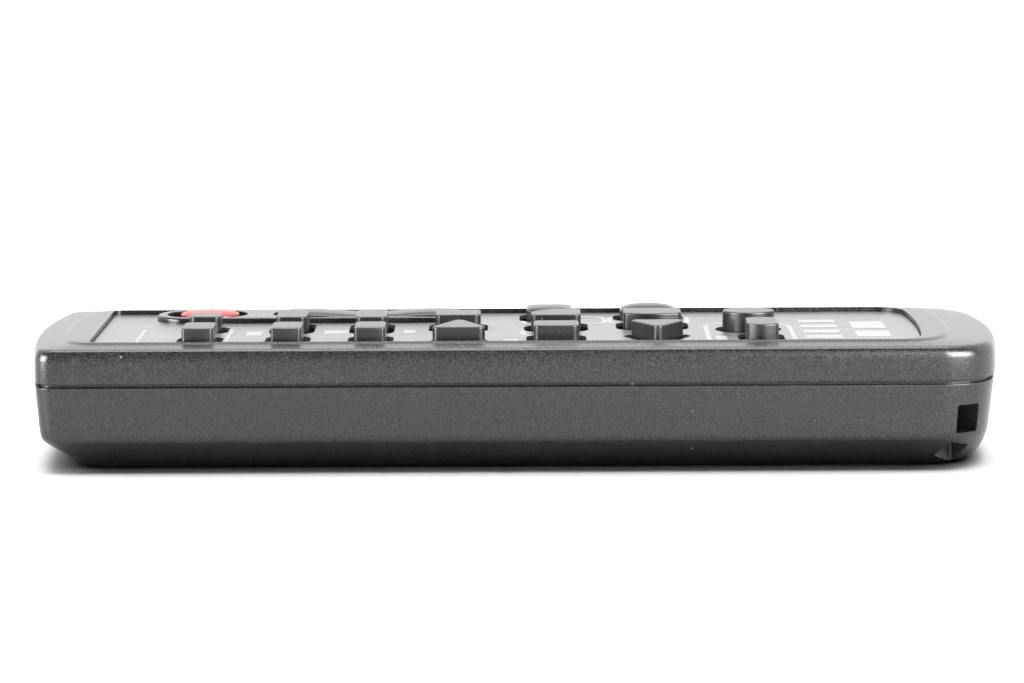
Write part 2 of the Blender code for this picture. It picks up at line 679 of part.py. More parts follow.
def make_mat(mat):
    x0, x1 = BOARD_X
    w = BOARD_HALF_WIDTH - 0.4
    z0 = BOARD_Z[1] + MAT_CLEARANCE
    bm = bmesh.new()
    plan = rectangle((x0 + x1) / 2, 0.0, x1 - x0 - 0.8, 2 * w, 1.0, 2)
    add_loft(bm, [(plan, z0), (plan, z0 + MAT_THICKNESS)])
    sheet = add_object("key_mat", bm, mat)
    bm = bmesh.new()
    for name, key in KEY_PLANS.items():
        add_loft(bm, [(key, z0 - 0.5), (key, z0 + MAT_THICKNESS + 0.5)])
    for side in (-1, 1):
        half = (ROCKER_X[1] - ROCKER_X[0]) / 2 - 3.6
        add_cylinder(bm, ROCKER_MIDDLE + side * half, GUARD_Y, z0 - 0.5, z0 + MAT_THICKNESS + 0.5, 2.6, 16)
    boolean(sheet, as_cutter(add_object("mat_hole_tool", bm)))
    return sheet


def make_board(mat):
    x0, x1 = BOARD_X
    w, t = BOARD_HALF_WIDTH, TONGUE_HALF_WIDTH
    plan = [(x0, -w), (x1, -w), (x1, w), (x0, w), (x0, t), (TONGUE_X, t), (TONGUE_X, -t), (x0, -t)]
    bm = bmesh.new()
    add_loft(bm, [(plan, BOARD_Z[0]), (plan, BOARD_Z[1])])
    return add_object("circuit_board", bm, mat)


def make_emitter(name, y, mat):
    """A 5 mm lamp lying along X, dome towards the window, with two flat leads."""
    bm = bmesh.new()
    profile = [(0.0, 0.0), (2.9, 0.0), (2.9, 1.0), (EMITTER_RADIUS, 1.0), (EMITTER_RADIUS, 4.6)]
    for i in range(1, 5):
        a = math.radians(90.0 * i / 5)
        profile.append((EMITTER_RADIUS * math.cos(a), 4.6 + EMITTER_RADIUS * math.sin(a)))
    profile.append((0.0, 4.6 + EMITTER_RADIUS))
    points = [bm.verts.new((r, 0.0, h)) for r, h in profile]
    edges = [bm.edges.new(pair) for pair in zip(points, points[1:])]
    bmesh.ops.spin(bm, geom=points + edges, cent=(0, 0, 0), axis=(0, 0, 1), angle=2 * math.pi, steps=16)
    bmesh.ops.remove_doubles(bm, verts=bm.verts, dist=0.0001)
    lie = Matrix.Translation((-68.9, y, EMITTER_Z)) @ Matrix.Rotation(math.radians(-90), 4, "Y")
    bmesh.ops.transform(bm, matrix=lie, verts=bm.verts)
    lamp = add_object(name, bm, mat, smooth=40)
    leads = boxes(name + "_lead_tool",
                  (-69.4, -65.4, y - 1.52, y - 1.02, 14.2, 14.7),
                  (-69.4, -65.4, y + 1.02, y + 1.52, 14.2, 14.7))
    boolean(lamp, leads, "UNION")
    return lamp


def make_chip(mat):
    """Controller under the board: flat body with two rows of bent leads."""
    z = BOARD_Z[0] - 0.1
    half = 3.9
    section = [(-half - 1.4, z), (-half - 0.6, z), (-half - 0.3, z - 1.0), (-half, z - 1.0),
               (-half, z - 0.2), (half, z - 0.2), (half, z - 1.0), (half + 0.3, z - 1.0),
               (half + 0.6, z), (half + 1.4, z), (half + 1.4, z - 0.2), (half + 0.8, z - 0.2),
               (half + 0.5, z - 1.2), (half, z - 1.2), (half - 0.2, z - 2.0), (-half + 0.2, z - 2.0),
               (-half, z - 1.2), (-half - 0.5, z - 1.2), (-half - 0.8, z - 0.2), (-half - 1.4, z - 0.2)]
    bm = bmesh.new()
    near = [bm.verts.new((-36.5, v, w)) for v, w in section]
    far = [bm.verts.new((-24.0, v, w)) for v, w in section]
    for i in range(len(section)):
        j = (i + 1) % len(section)
        bm.faces.new((near[i], near[j], far[j], far[i]))
    bm.faces.new(near)
    bm.faces.new(list(reversed(far)))
    chip = add_object("controller_chip", bm, mat)
    gaps = []
    for i in range(7):
        x = -36.5 + 0.4 + i * 1.95
        for side in (-1, 1):
            y0, y1 = sorted((side * (half + 0.05), side * (half + 2.0)))
            gaps.append((x - 0.6, x + 0.6, y0, y1, z - 2.4, z + 0.6))
    boolean(chip, boxes("chip_gap_tool", *gaps))
    return chip


def make_cell(name, y, nub_side, x0, mat):
    """An R03 cell lying along X with its nub towards nub_side."""
    body = CELL_LENGTH - CELL_NUB
    r = CELL_RADIUS
    profile = [(0.0, 0.0), (r - 1.6, 0.0), (r - 1.6, 0.25), (r - 0.4, 0.25), (r, 0.6),
               (r, body - 0.5), (r - 0.5, body), (1.9, body), (1.9, CELL_LENGTH - 0.2),
               (1.7, CELL_LENGTH), (0.0, CELL_LENGTH)]
    bm = bmesh.new()
    points = [bm.verts.new((a, 0.0, h)) for a, h in profile]
    edges = [bm.edges.new(pair) for pair in zip(points, points[1:])]
    bmesh.ops.spin(bm, geom=points + edges, cent=(0, 0, 0), axis=(0, 0, 1), angle=2 * math.pi, steps=20)
    bmesh.ops.remove_doubles(bm, verts=bm.verts, dist=0.0001)
    turn = Matrix.Rotation(math.radians(90), 4, "Y")
    if nub_side < 0:
        turn = Matrix.Translation((CELL_LENGTH, 0, 0)) @ Matrix.Rotation(math.radians(-90), 4, "Y")
    bmesh.ops.transform(bm, matrix=Matrix.Translation((x0, y, CELL_Z)) @ turn, verts=bm.verts)
    return add_object(name, bm, mat, smooth=30)


def make_spring(name, x0, x1, y, mat):
    """Conical coil between a contact plate and the flat end of a cell."""
    turns, per_turn = 4.0, 10
    count = int(turns * per_turn)
    curve = bpy.data.curves.new(name, "CURVE")
    curve.dimensions = "3D"
    curve.bevel_depth = 0.3 * MM
    curve.bevel_resolution = 1
    curve.use_fill_caps = True
    line = curve.splines.new("POLY")
    line.points.add(count)
    for i in range(count + 1):
        part = i / count
        a = 2 * math.pi * turns * part
        r = 3.4 - 1.3 * part
        x = x0 + (x1 - x0) * part
        line.points[i].co = (x * MM, (y + r * math.cos(a)) * MM, (CELL_Z + r * math.sin(a)) * MM, 1.0)
    curve.materials.append(mat)
    spring = bpy.data.objects.new(name, curve)
    bpy.context.scene.collection.objects.link(spring)
    return spring


def make_contact(name, limits, mat):
    bm = bmesh.new()
    add_box(bm, *limits)
    plate = add_object(name, bm, mat)
    bevel = plate.modifiers.new("corners", "BEVEL")
    bevel.width = 0.1 * MM
    bevel.segments = 1
    return plate


def make_screw(name, x, y, mat):
    """Self-tapping pan head screw, driven upwards from the back of the case."""
    head = BORE_DEPTH_Z - 0.1
    profile = [(0.0, head - 1.5), (1.2, head - 1.5), (2.0, head - 1.1), (2.25, head - 0.5), (2.25, head),
               (SHANK_RADIUS, head)]
    z = head + 0.6
    while z < 16.6:
        profile.append((SHANK_RADIUS, z))
        profile.append((SHANK_RADIUS - 0.25, z + 0.7))
        z += 1.4
    profile += [(SHANK_RADIUS - 0.25, 17.0), (0.3, 17.6), (0.0, 17.6)]
    bm = bmesh.new()
    points = [bm.verts.new((r, 0.0, h)) for r, h in profile]
    edges = [bm.edges.new(pair) for pair in zip(points, points[1:])]
    bmesh.ops.spin(bm, geom=points + edges, cent=(0, 0, 0), axis=(0, 0, 1), angle=2 * math.pi, steps=10)
    bmesh.ops.remove_doubles(bm, verts=bm.verts, dist=0.0001)
    bmesh.ops.translate(bm, vec=(x, y, 0.0), verts=bm.verts)
    screw = add_object(name, bm, mat, smooth=35)
    slots = boxes(name + "_slot_tool",
                  (x - 1.3, x + 1.3, y - 0.28, y + 0.28, head - 2.0, head - 0.8))
    boolean(screw, slots)
    cross = boxes(name + "_cross_tool",
                  (x - 0.28, x + 0.28, y - 1.3, y + 1.3, head - 2.0, head - 0.8))
    boolean(screw, cross)
    return screw


def make_small_parts(dark, orange, blue):
    z = BOARD_Z[0] - 0.1
    bm = bmesh.new()
    plan = rectangle(-11.0, -8.0, 8.4, 3.4, 1.4, 3)
    add_loft(bm, [(plan, z - 5.2), (plan, z)])
    add_object("resonator", bm, orange, smooth=40)
    bm = bmesh.new()
    add_cylinder(bm, -50.5, 4.0, z - 7.4, z, 3.15, 24)
    add_object("reservoir_capacitor", bm, blue, smooth=40)
    bm = bmesh.new()
    points = arc(-51.0, -7.0, 2.3, math.radians(-40), math.radians(220), 14)
    add_loft(bm, [(points, z - 4.6), (points, z)])
    add_object("driver_transistor", bm, dark, smooth=40)


def build():
    clear_scene()
    case = material("case_plastic", (0.085, 0.085, 0.088), 0.55)
    plate = material("plate_silver", (0.62, 0.62, 0.62), 0.45)
    rubber = material("key_rubber", (0.035, 0.035, 0.036), 0.75)
    red = material("record_rubber", (0.55, 0.03, 0.03), 0.6)
    guard = material("guard_plastic", (0.16, 0.16, 0.165), 0.4)
    window = material("window_plastic", (0.04, 0.006, 0.01), 0.12)
    board = material("board_laminate", (0.22, 0.14, 0.06), 0.5)
    lamp = material("lamp_resin", (0.10, 0.10, 0.18), 0.1)
    chip = material("chip_epoxy", (0.02, 0.02, 0.02), 0.5)
    orange = material("resonator_resin", (0.6, 0.22, 0.03), 0.4)
    blue = material("capacitor_sleeve", (0.02, 0.03, 0.09), 0.35)
    cell = material("cell_jacket", (0.07, 0.09, 0.13), 0.35, 0.4)
    steel = material("plated_steel", (0.62, 0.62, 0.63), 0.3, 1.0)
    screw = material("screw_steel", (0.18, 0.18, 0.19), 0.35, 1.0)

    holes = key_hole_tool()
    guard_hole = guard_openings(0.0, DECK_UNDERSIDE_Z - 0.8, GUARD_TOP_Z + 0.6, "guard_opening_tool")
    front = make_front_shell(case, holes, guard_hole)
    rear = make_rear_shell(case)
    bm = bmesh.new()
    z0, z1 = WINDOW_Z
    gap = 0.12
    plan = window_plan(gap)
    add_loft(bm, [(plan, z0 - gap), (plan, z1 + gap)])
    window_hole = as_cutter(add_object("window_hole_tool", bm))
    boolean(front, window_hole)
    boolean(rear, window_hole)
    make_door(case)
    make_plate(plate, holes)
    make_guard(guard, guard_hole)
    make_window(window)
    for name, plan in KEY_PLANS.items():
        make_key(name, plan, red if name == "record_key" else rubber)
    make_rocker(rubber)
    make_mat(rubber)
    make_board(board)
    make_emitter("emitter_a", -EMITTER_Y, lamp)
    make_emitter("emitter_b", EMITTER_Y, lamp)
    make_chip(chip)
    make_small_parts(chip, orange, blue)

    first, last = BAY_X[0] + 0.3, BAY_X[1] - 0.3
    thick = CONTACT_THICKNESS
    low, high = CELL_Z - 4.2, BOARD_Z[0] - 0.2
    gap = 0.1
    plus_x = first + thick + gap
    make_cell("cell_a", -CELL_Y, 1, last - thick - gap - CELL_LENGTH, cell)
    make_cell("cell_b", CELL_Y, -1, plus_x, cell)
    make_contact("contact_minus", (first, first + thick, -CELL_Y - 3.9, -CELL_Y + 3.9, low, high), steel)
    make_contact("contact_plus", (first, first + thick, CELL_Y - 3.9, CELL_Y + 3.9, low, high), steel)
    make_contact("contact_link", (last - thick, last, -CELL_Y - 3.9, CELL_Y + 3.9, low + 1.4, high), steel)
    make_spring("spring_a", first + thick + 0.4, last - thick - gap - CELL_LENGTH - 0.4, -CELL_Y, steel)
    make_spring("spring_b", last - thick - 0.4, plus_x + CELL_LENGTH + 0.4, CELL_Y, steel)
    for index, (x, y) in enumerate(screw_places()):
        make_screw("case_screw_%d" % (index + 1), x, y, screw)


build()
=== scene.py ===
"""Looks of a slim handheld infrared remote control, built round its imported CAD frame.

Laid out as an add-on: property groups hold the sizes and colours, each piece or family of
like pieces has its own operator, and a sidebar panel lists them. Sizes in the helpers are
in millimetres and become metres when a mesh is made.
"""
import math

import bmesh
import bpy
from mathutils import Matrix, Vector


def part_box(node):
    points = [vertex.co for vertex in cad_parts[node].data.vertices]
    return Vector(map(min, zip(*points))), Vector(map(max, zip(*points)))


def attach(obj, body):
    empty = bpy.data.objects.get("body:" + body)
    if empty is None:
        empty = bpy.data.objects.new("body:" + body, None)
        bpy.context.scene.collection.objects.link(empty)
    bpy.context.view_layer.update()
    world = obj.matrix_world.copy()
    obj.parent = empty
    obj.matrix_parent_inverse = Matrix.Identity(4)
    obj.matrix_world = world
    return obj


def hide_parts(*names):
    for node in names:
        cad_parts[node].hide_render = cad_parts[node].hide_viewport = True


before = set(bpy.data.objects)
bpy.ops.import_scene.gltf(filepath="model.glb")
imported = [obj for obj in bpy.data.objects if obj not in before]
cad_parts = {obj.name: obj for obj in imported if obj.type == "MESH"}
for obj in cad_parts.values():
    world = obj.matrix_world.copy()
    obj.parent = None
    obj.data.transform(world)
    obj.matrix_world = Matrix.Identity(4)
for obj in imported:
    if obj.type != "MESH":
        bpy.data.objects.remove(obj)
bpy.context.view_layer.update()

bl_info = {
    "name": "Pocket remote control",
    "version": (1, 0, 0),
    "blender": (4, 5, 0),
    "location": "View3D > Sidebar > Remote",
    "description": "Builds the case, keys, labels and studio of a handheld infrared remote",
    "category": "Object",
}

MM = 0.001
DEG = math.pi / 180.0


def span(node, axis):
    """Low and high limit of a frame node along one axis, in millimetres."""
    low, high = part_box(node)
    return low[axis] / MM, high[axis] / MM


# Sizes taken from the frame
CASE_X = span("front_shell", 0)
HALF_WIDTH = span("front_shell", 1)[1]
CASE_TOP = span("front_shell", 2)[1]
SKIRT_Z = span("front_shell", 2)[0]
PLATE_X = span("face_plate", 0)
PLATE_Y = span("face_plate", 1)[1]
PLATE_Z = span("face_plate", 2)
GUARD_X = span("key_guard", 0)
GUARD_Y = span("key_guard", 1)
GUARD_Z = span("key_guard", 2)
GUARD_CENTRE = sum(GUARD_Y) / 2
DOOR_X = span("battery_door", 0)
DOOR_Y = span("battery_door", 1)
ROCKER_X = span("zoom_rocker", 0)
ROCKER_Y = span("zoom_rocker", 1)
BOARD_Z = span("circuit_board", 2)
SCREWS = [sum(span("case_screw_%d" % i, axis)) / 2 for i in (1, 2, 3, 4) for axis in (0, 1)]
SCREW_PLACES = list(zip(SCREWS[0::2], SCREWS[1::2]))

# Sizes the frame can't tell
PARTING_Z = 14.3
WALL = 1.8
HEAD_CORNER = 2.6
TAIL_CORNER = 9.0
HEAD_BULGE = 0.19
TAIL_BULGE = 0.20
POCKET_FLOOR = 19.6
DECK_UNDERSIDE = 18.3
KEY_HOLE_GAP = 1.25
KEY_FLANGE = 1.9
KEY_CORNER = 0.95
BAY_X = (10.0, 60.2)
BAY_Y = 12.6
BORE_RADIUS = 2.7
BORE_TOP = 8.6
LANYARD_AT = (71.2, -18.9)
LANYARD_TURN = 40 * DEG
LANYARD_SIDE = 3.9
LANYARD_MOUTH = 4.2
LANYARD_Z = (6.2, 10.8)


# ------------------------------------------------------------------ settings

def colour_setting(label, default, about):
    return bpy.props.FloatVectorProperty(name=label, description=about, default=default,
                                         size=3, min=0.0, max=1.0, subtype="COLOR")


def size_setting(label, default_mm, about):
    return bpy.props.FloatProperty(name=label, description=about, default=default_mm * MM,
                                   min=0.0, precision=5, unit="LENGTH", subtype="DISTANCE")


class REMOTE_PG_colours(bpy.types.PropertyGroup):
    """Colours of the remote's finishes."""
    case: colour_setting("Case", (0.020, 0.0202, 0.022), "Moulded plastic of both shells")
    plate: colour_setting("Plate", (0.175, 0.175, 0.177), "Ground colour of the label plate")
    print_ink: colour_setting("Print", (0.42, 0.42, 0.42), "Ink of the lines on the plate")
    rubber: colour_setting("Keys", (0.022, 0.0215, 0.0215), "Silicone of the grey keys")
    record: colour_setting("Record key", (0.62, 0.035, 0.03), "Silicone of the record key")
    guard: colour_setting("Guard", (0.022, 0.023, 0.03), "Rim round the record key and rocker")
    window: colour_setting("Window", (0.035, 0.004, 0.008), "Infrared window")
    floor: colour_setting("Floor", (0.93, 0.93, 0.93), "Studio floor")


class REMOTE_PG_sizes(bpy.types.PropertyGroup):
    """Sizes of details that a maker might change."""
    grain: size_setting("Grain", 0.22, "Spacing of the moulded grain on the case")
    key_edge: size_setting("Key edge", 0.2, "Rounding of a key's top edge")
    ink_height: size_setting("Ink height", 0.03, "How far the printed lines stand on the plate")
    ink_width: size_setting("Ink width", 0.8, "Width of a printed outline")
    screw_radius: size_setting("Screw head", 2.25, "Radius of a case screw's head")
    grip_width: size_setting("Grip rib", 0.7, "Width of a groove on the battery door")


def colours():
    return bpy.context.scene.remote_colours


def sizes():
    return bpy.context.scene.remote_sizes


# ------------------------------------------------------------------ node helpers

class Nodes:
    """Short way to lay out a shader tree."""

    def __init__(self, name):
        self.mat = bpy.data.materials.new(name)
        self.mat.use_nodes = True
        self.tree = self.mat.node_tree
        self.shader = self.tree.nodes["Principled BSDF"]
        self.where = self.add("ShaderNodeTexCoord").outputs["Object"]

    def add(self, kind, **values):
        node = self.tree.nodes.new(kind)
        for key, value in values.items():
            if hasattr(node, key):
                setattr(node, key, value)
        return node

    def link(self, source, target):
        self.tree.links.new(source, target)

    def noise(self, scale, detail=2.0, rough=0.5, stretch=None, distortion=0.0):
        node = self.add("ShaderNodeTexNoise")
        node.inputs["Scale"].default_value = scale
        node.inputs["Detail"].default_value = detail
        node.inputs["Roughness"].default_value = rough
        node.inputs["Distortion"].default_value = distortion
        self.link(self.place(stretch), node.inputs["Vector"])
        return node.outputs["Fac"]

    def place(self, stretch):
        if stretch is None:
            return self.where
        mapping = self.add("ShaderNodeMapping")
        mapping.inputs["Scale"].default_value = stretch
        self.link(self.where, mapping.inputs["Vector"])
        return mapping.outputs["Vector"]

    def cells(self, scale, feature="F1", stretch=None):
        node = self.add("ShaderNodeTexVoronoi", feature=feature)
        node.inputs["Scale"].default_value = scale
        self.link(self.place(stretch), node.inputs["Vector"])
        return node

    def spread(self, source, low, high, to_low, to_high, smooth=False):
        node = self.add("ShaderNodeMapRange")
        node.interpolation_type = "SMOOTHSTEP" if smooth else "LINEAR"
        for key, value in (("From Min", low), ("From Max", high), ("To Min", to_low), ("To Max", to_high)):
            node.inputs[key].default_value = value
        self.link(source, node.inputs["Value"])
        return node.outputs["Result"]

    def maths(self, operation, first, second):
        node = self.add("ShaderNodeMath", operation=operation)
        for socket, value in zip(node.inputs, (first, second)):
            if isinstance(value, (int, float)):
                socket.default_value = value
            else:
                self.link(value, socket)
        return node.outputs["Value"]

    def mix(self, factor, first, second, blend="MIX"):
        node = self.add("ShaderNodeMix", data_type="RGBA", blend_type=blend)
        for socket, value in ((node.inputs["Factor"], factor), (node.inputs[6], first), (node.inputs[7], second)):
            if isinstance(value, (int, float)):
                socket.default_value = value
            elif isinstance(value, (tuple, list)):
                socket.default_value = (*value[:3], 1.0)
            else:
                self.link(value, socket)
        return node.outputs[2]

    def bump(self, height, strength, distance, onto=None):
        node = self.add("ShaderNodeBump")
        node.inputs["Strength"].default_value = strength
        node.inputs["Distance"].default_value = distance
        self.link(height, node.inputs["Height"])
        if onto is not None:
            self.link(onto, node.inputs["Normal"])
        return node.outputs["Normal"]

    def finish(self, colour, roughness, normal=None, **values):
        for source, key in ((colour, "Base Color"), (roughness, "Roughness"), (normal, "Normal")):
            socket = self.shader.inputs[key]
            if source is None:
                continue
            if isinstance(source, (int, float)):
                socket.default_value = source
            elif isinstance(source, tuple):
                socket.default_value = (*source[:3], 1.0)
            else:
                self.link(source, socket)
        for key, value in values.items():
            self.shader.inputs[key.replace("_", " ")].default_value = value
        return self.mat


def shade(colour, factor):
    return tuple(min(1.0, c * factor) for c in colour)


def height_of(net):
    """Height above the floor, from Object coordinates."""
    split = net.add("ShaderNodeSeparateXYZ")
    net.link(net.where, split.inputs["Vector"])
    return split.outputs


def grained(name, colour, roughness, grain, pit=0.5, depth=0.00004, fleck=0.0, painted_glint=0.3, height_band=None, **values):
    """Moulded plastic or rubber: fine pitted grain with glints painted lighter on its peaks, slow shade changes,
    specks of dust.
    """
    net = Nodes(name)
    fine = net.noise(1.0 / grain, 2.5, 0.62)
    pits = net.cells(0.8 / grain).outputs["Distance"]
    slow = net.noise(42.0, 4.0, 0.6)
    tone = net.mix(net.spread(slow, 0.3, 0.7, 0.0, 1.0), shade(colour, 0.86), shade(colour, 1.12))
    # Painted glints: where the fine grain peaks, the colour is painted up to seven times lighter.
    tone = net.mix(net.spread(fine, 0.5, 0.7, 0.0, painted_glint), tone, shade(colour, 7.0))
    # An optional band between two heights, broken by noise, is coloured up to 2.6 times lighter.
    if height_band is not None:
        low, high, amount = height_band
        height = net.spread(height_of(net)["Z"], low * MM, high * MM, 0.0, amount, True)
        band_mask = net.maths("MULTIPLY", height, net.spread(net.noise(380.0, 4.0, 0.7), 0.42, 0.62, 0.2, 1.0))
        tone = net.mix(band_mask, tone, shade(colour, 2.6))
    gloss = net.spread(fine, 0.3, 0.7, roughness - 0.08, roughness + 0.1)
    if fleck:
        specks = net.cells(620.0)
        dot = net.maths("LESS_THAN", specks.outputs["Distance"], 0.12)
        pick = net.add("ShaderNodeSeparateColor")
        net.link(specks.outputs["Color"], pick.inputs["Color"])
        chosen = net.maths("LESS_THAN", pick.outputs["Red"], fleck)
        tone = net.mix(net.maths("MULTIPLY", dot, chosen), tone, (0.55, 0.55, 0.56))
    normal = net.bump(fine, pit, depth)
    normal = net.bump(pits, pit * 0.5, depth, normal)
    return net.finish(tone, gloss, normal, **values)


def printed_sheet(name, colour):
    """Label plate: satin metallic paint with a faint lengthwise grain and fine speckle."""
    net = Nodes(name)
    speckle = net.noise(3800.0, 2.0, 0.6)
    brushed = net.noise(900.0, 3.0, 0.6, stretch=(0.12, 1.0, 1.0))
    slow = net.noise(55.0, 3.0, 0.5)
    tone = net.mix(net.spread(brushed, 0.3, 0.7, 0.0, 1.0), shade(colour, 0.9), shade(colour, 1.08))
    tone = net.mix(net.spread(speckle, 0.4, 0.75, 0.0, 0.6), tone, shade(colour, 1.35))
    tone = net.mix(net.spread(slow, 0.35, 0.65, 0.0, 0.18), tone, shade(colour, 0.75))
    gloss = net.spread(brushed, 0.3, 0.7, 0.28, 0.4)
    return net.finish(tone, gloss, net.bump(speckle, 0.25, 0.00002), Metallic=0.35)


def ink(name, colour):
    """Screen-printed white ink, a little uneven."""
    net = Nodes(name)
    patch = net.noise(1500.0, 3.0, 0.6)
    tone = net.mix(net.spread(patch, 0.3, 0.7, 0.0, 1.0), shade(colour, 0.9), colour)
    return net.finish(tone, net.spread(patch, 0.3, 0.7, 0.4, 0.55), net.bump(patch, 0.15, 0.00001))


def window_plastic(name, colour):
    """Polished dark red plastic with hairline scratches and a soft smudge."""
    net = Nodes(name)
    lines = net.noise(1400.0, 3.0, 0.6, stretch=(1.0, 0.05, 1.0))
    smudge = net.noise(160.0, 4.0, 0.6)
    gloss = net.maths("ADD", net.spread(lines, 0.55, 0.75, 0.05, 0.16), net.spread(smudge, 0.4, 0.7, 0.0, 0.1))
    tone = net.mix(net.spread(smudge, 0.35, 0.7, 0.0, 1.0), colour, shade(colour, 1.7))
    return net.finish(tone, gloss, net.bump(lines, 0.06, 0.00001), **{"Coat Weight": 0.4, "Coat Roughness": 0.05})


def plated_steel(name, colour, roughness):
    """Plated steel: drawn grain and random darker stains."""
    net = Nodes(name)
    drawn = net.noise(2200.0, 3.0, 0.6, stretch=(1.0, 1.0, 0.15))
    stain = net.noise(420.0, 4.0, 0.7)
    tone = net.mix(net.spread(stain, 0.4, 0.7, 0.0, 0.6), colour, shade(colour, 0.55))
    gloss = net.spread(drawn, 0.3, 0.7, roughness - 0.08, roughness + 0.14)
    return net.finish(tone, gloss, net.bump(drawn, 0.15, 0.00001), Metallic=1.0)


def laminate(name, colour):
    """Phenolic board with a woven core showing and copper-green tracks under the resist."""
    net = Nodes(name)
    weave = net.noise(1300.0, 2.0, 0.5, stretch=(1.0, 0.25, 1.0))
    tracks = net.cells(360.0, "DISTANCE_TO_EDGE").outputs["Distance"]
    tone = net.mix(net.spread(weave, 0.35, 0.65, 0.0, 1.0), shade(colour, 0.85), shade(colour, 1.15))
    tone = net.mix(net.spread(tracks, 0.05, 0.09, 0.55, 0.0), tone, (0.05, 0.16, 0.06))
    return net.finish(tone, net.spread(weave, 0.3, 0.7, 0.35, 0.5), net.bump(tracks, 0.2, 0.00003))


def resin(name, colour, roughness, clear=0.0):
    """Cast or dipped resin with slight ripples."""
    net = Nodes(name)
    ripple = net.noise(330.0, 3.0, 0.5)
    tone = net.mix(net.spread(ripple, 0.3, 0.7, 0.0, 1.0), shade(colour, 0.85), shade(colour, 1.15))
    gloss = net.spread(ripple, 0.3, 0.7, roughness, roughness + 0.1)
    return net.finish(tone, gloss, net.bump(ripple, 0.1, 0.00005),
                      **{"Transmission Weight": clear, "Coat Weight": 0.3})


def cell_jacket(name, colour, low, high):
    """Printed cell jacket: two colour bands along X, bare crimped ends."""
    net = Nodes(name)
    along = height_of(net)["X"]
    haze = net.noise(240.0, 4.0, 0.6)
    span_mm = high - low
    band = net.spread(along, (low + span_mm * 0.28) * MM, (low + span_mm * 0.29) * MM, 0.0, 1.0)
    tone = net.mix(band, (0.42, 0.25, 0.07), colour)
    tone = net.mix(net.spread(haze, 0.4, 0.7, 0.0, 0.4), tone, shade(colour, 1.8))
    ends = net.maths("ADD", net.spread(along, low * MM, (low + 0.9) * MM, 1.0, 0.0),
                     net.spread(along, (high - 1.9) * MM, (high - 1.5) * MM, 0.0, 1.0))
    tone = net.mix(ends, tone, (0.6, 0.6, 0.6))
    return net.finish(tone, net.spread(haze, 0.3, 0.7, 0.22, 0.36), net.bump(haze, 0.08, 0.00003), Metallic=0.55)


# ------------------------------------------------------------------ outlines and solids

def arc(cx, cy, radius, start, end, steps):
    return [(cx + radius * math.cos(start + (end - start) * i / steps),
             cy + radius * math.sin(start + (end - start) * i / steps)) for i in range(steps + 1)]


def case_outline(side, head, tail, head_corner, tail_corner, steps=(7, 18, 26), sides=1):
    """Plan of the case: straight sides, bowed ends, rounded corners."""
    hy = HALF_WIDTH - side
    points = []
    for sign, tip, corner, bulge, count in (
            (1, CASE_X[1] - tail, tail_corner, TAIL_BULGE, steps[1]),
            (-1, CASE_X[0] + head, head_corner, HEAD_BULGE, steps[0])):
        end_radius = (hy - corner) / math.sin(bulge) + corner
        end_x = tip - sign * end_radius
        corner_x = end_x + sign * (end_radius - corner) * math.cos(bulge)
        turn = 0.0 if sign > 0 else math.pi
        points += arc(corner_x, -sign * (hy - corner), corner, turn - math.pi / 2, turn - bulge, count)
        points += arc(end_x, 0.0, end_radius, turn - bulge, turn + bulge, steps[2])[1:-1]
        points += arc(corner_x, sign * (hy - corner), corner, turn + bulge, turn + math.pi / 2, count)
    return points


def rounded(corners, radius, steps=7):
    """Round the corners of a convex anticlockwise polygon."""
    points = []
    count = len(corners)
    for i in range(count):
        here = Vector(corners[i])
        before = (Vector(corners[i - 1]) - here).normalized()
        after = (Vector(corners[(i + 1) % count]) - here).normalized()
        half = before.angle(after) / 2
        centre = here + (before + after).normalized() * (radius / math.sin(half))
        first = here + before * (radius / math.tan(half)) - centre
        last = here + after * (radius / math.tan(half)) - centre
        start = math.atan2(first.y, first.x)
        sweep = (math.atan2(last.y, last.x) - start) % (2 * math.pi)
        points += arc(centre.x, centre.y, radius, start, start + sweep, steps)
    return points


def offset(points, distance):
    """Move a convex anticlockwise outline outwards by a distance."""
    count = len(points)
    moved = []
    for i in range(count):
        here = Vector(points[i])
        before = (here - Vector(points[i - 1])).normalized()
        after = (Vector(points[(i + 1) % count]) - here).normalized()
        n1 = Vector((before.y, -before.x))
        mean = (n1 + Vector((after.y, -after.x))).normalized()
        step = mean * (distance / max(mean.dot(n1), 0.5))
        moved.append((here.x + step.x, here.y + step.y))
    return moved


def rectangle(cx, cy, wx, wy, radius=KEY_CORNER, steps=7):
    x0, x1, y0, y1 = cx - wx / 2, cx + wx / 2, cy - wy / 2, cy + wy / 2
    return rounded([(x0, y0), (x1, y0), (x1, y1), (x0, y1)], radius, steps)


def stadium(cx, cy, wx, wy, steps=22):
    r = wy / 2
    points = arc(cx + wx / 2 - r, cy, r, -math.pi / 2, math.pi / 2, steps)
    return points + arc(cx - wx / 2 + r, cy, r, math.pi / 2, 3 * math.pi / 2, steps)


def bowed(cx, cy, wx, wy, bow, radius=KEY_CORNER, far=False):
    """A rectangle whose near side, or far side, bows outwards."""
    half_x, half_y = wx / 2, wy / 2
    front = []
    for i in range(13):
        t = i / 12
        front.append((wx * t - half_x, bow - half_y - bow * 4 * t * (1 - t)))
    plan = rounded_ends(front + [(half_x, half_y), (-half_x, half_y)], radius, 12)
    side = -1 if far else 1
    return [(cx + side * x, cy + side * y) for x, y in plan]


def oval(cx, cy, wx, wy, steps):
    around = [2 * math.pi * i / steps for i in range(steps)]
    return [(cx + wx / 2 * math.cos(a), cy + wy / 2 * math.sin(a)) for a in around]


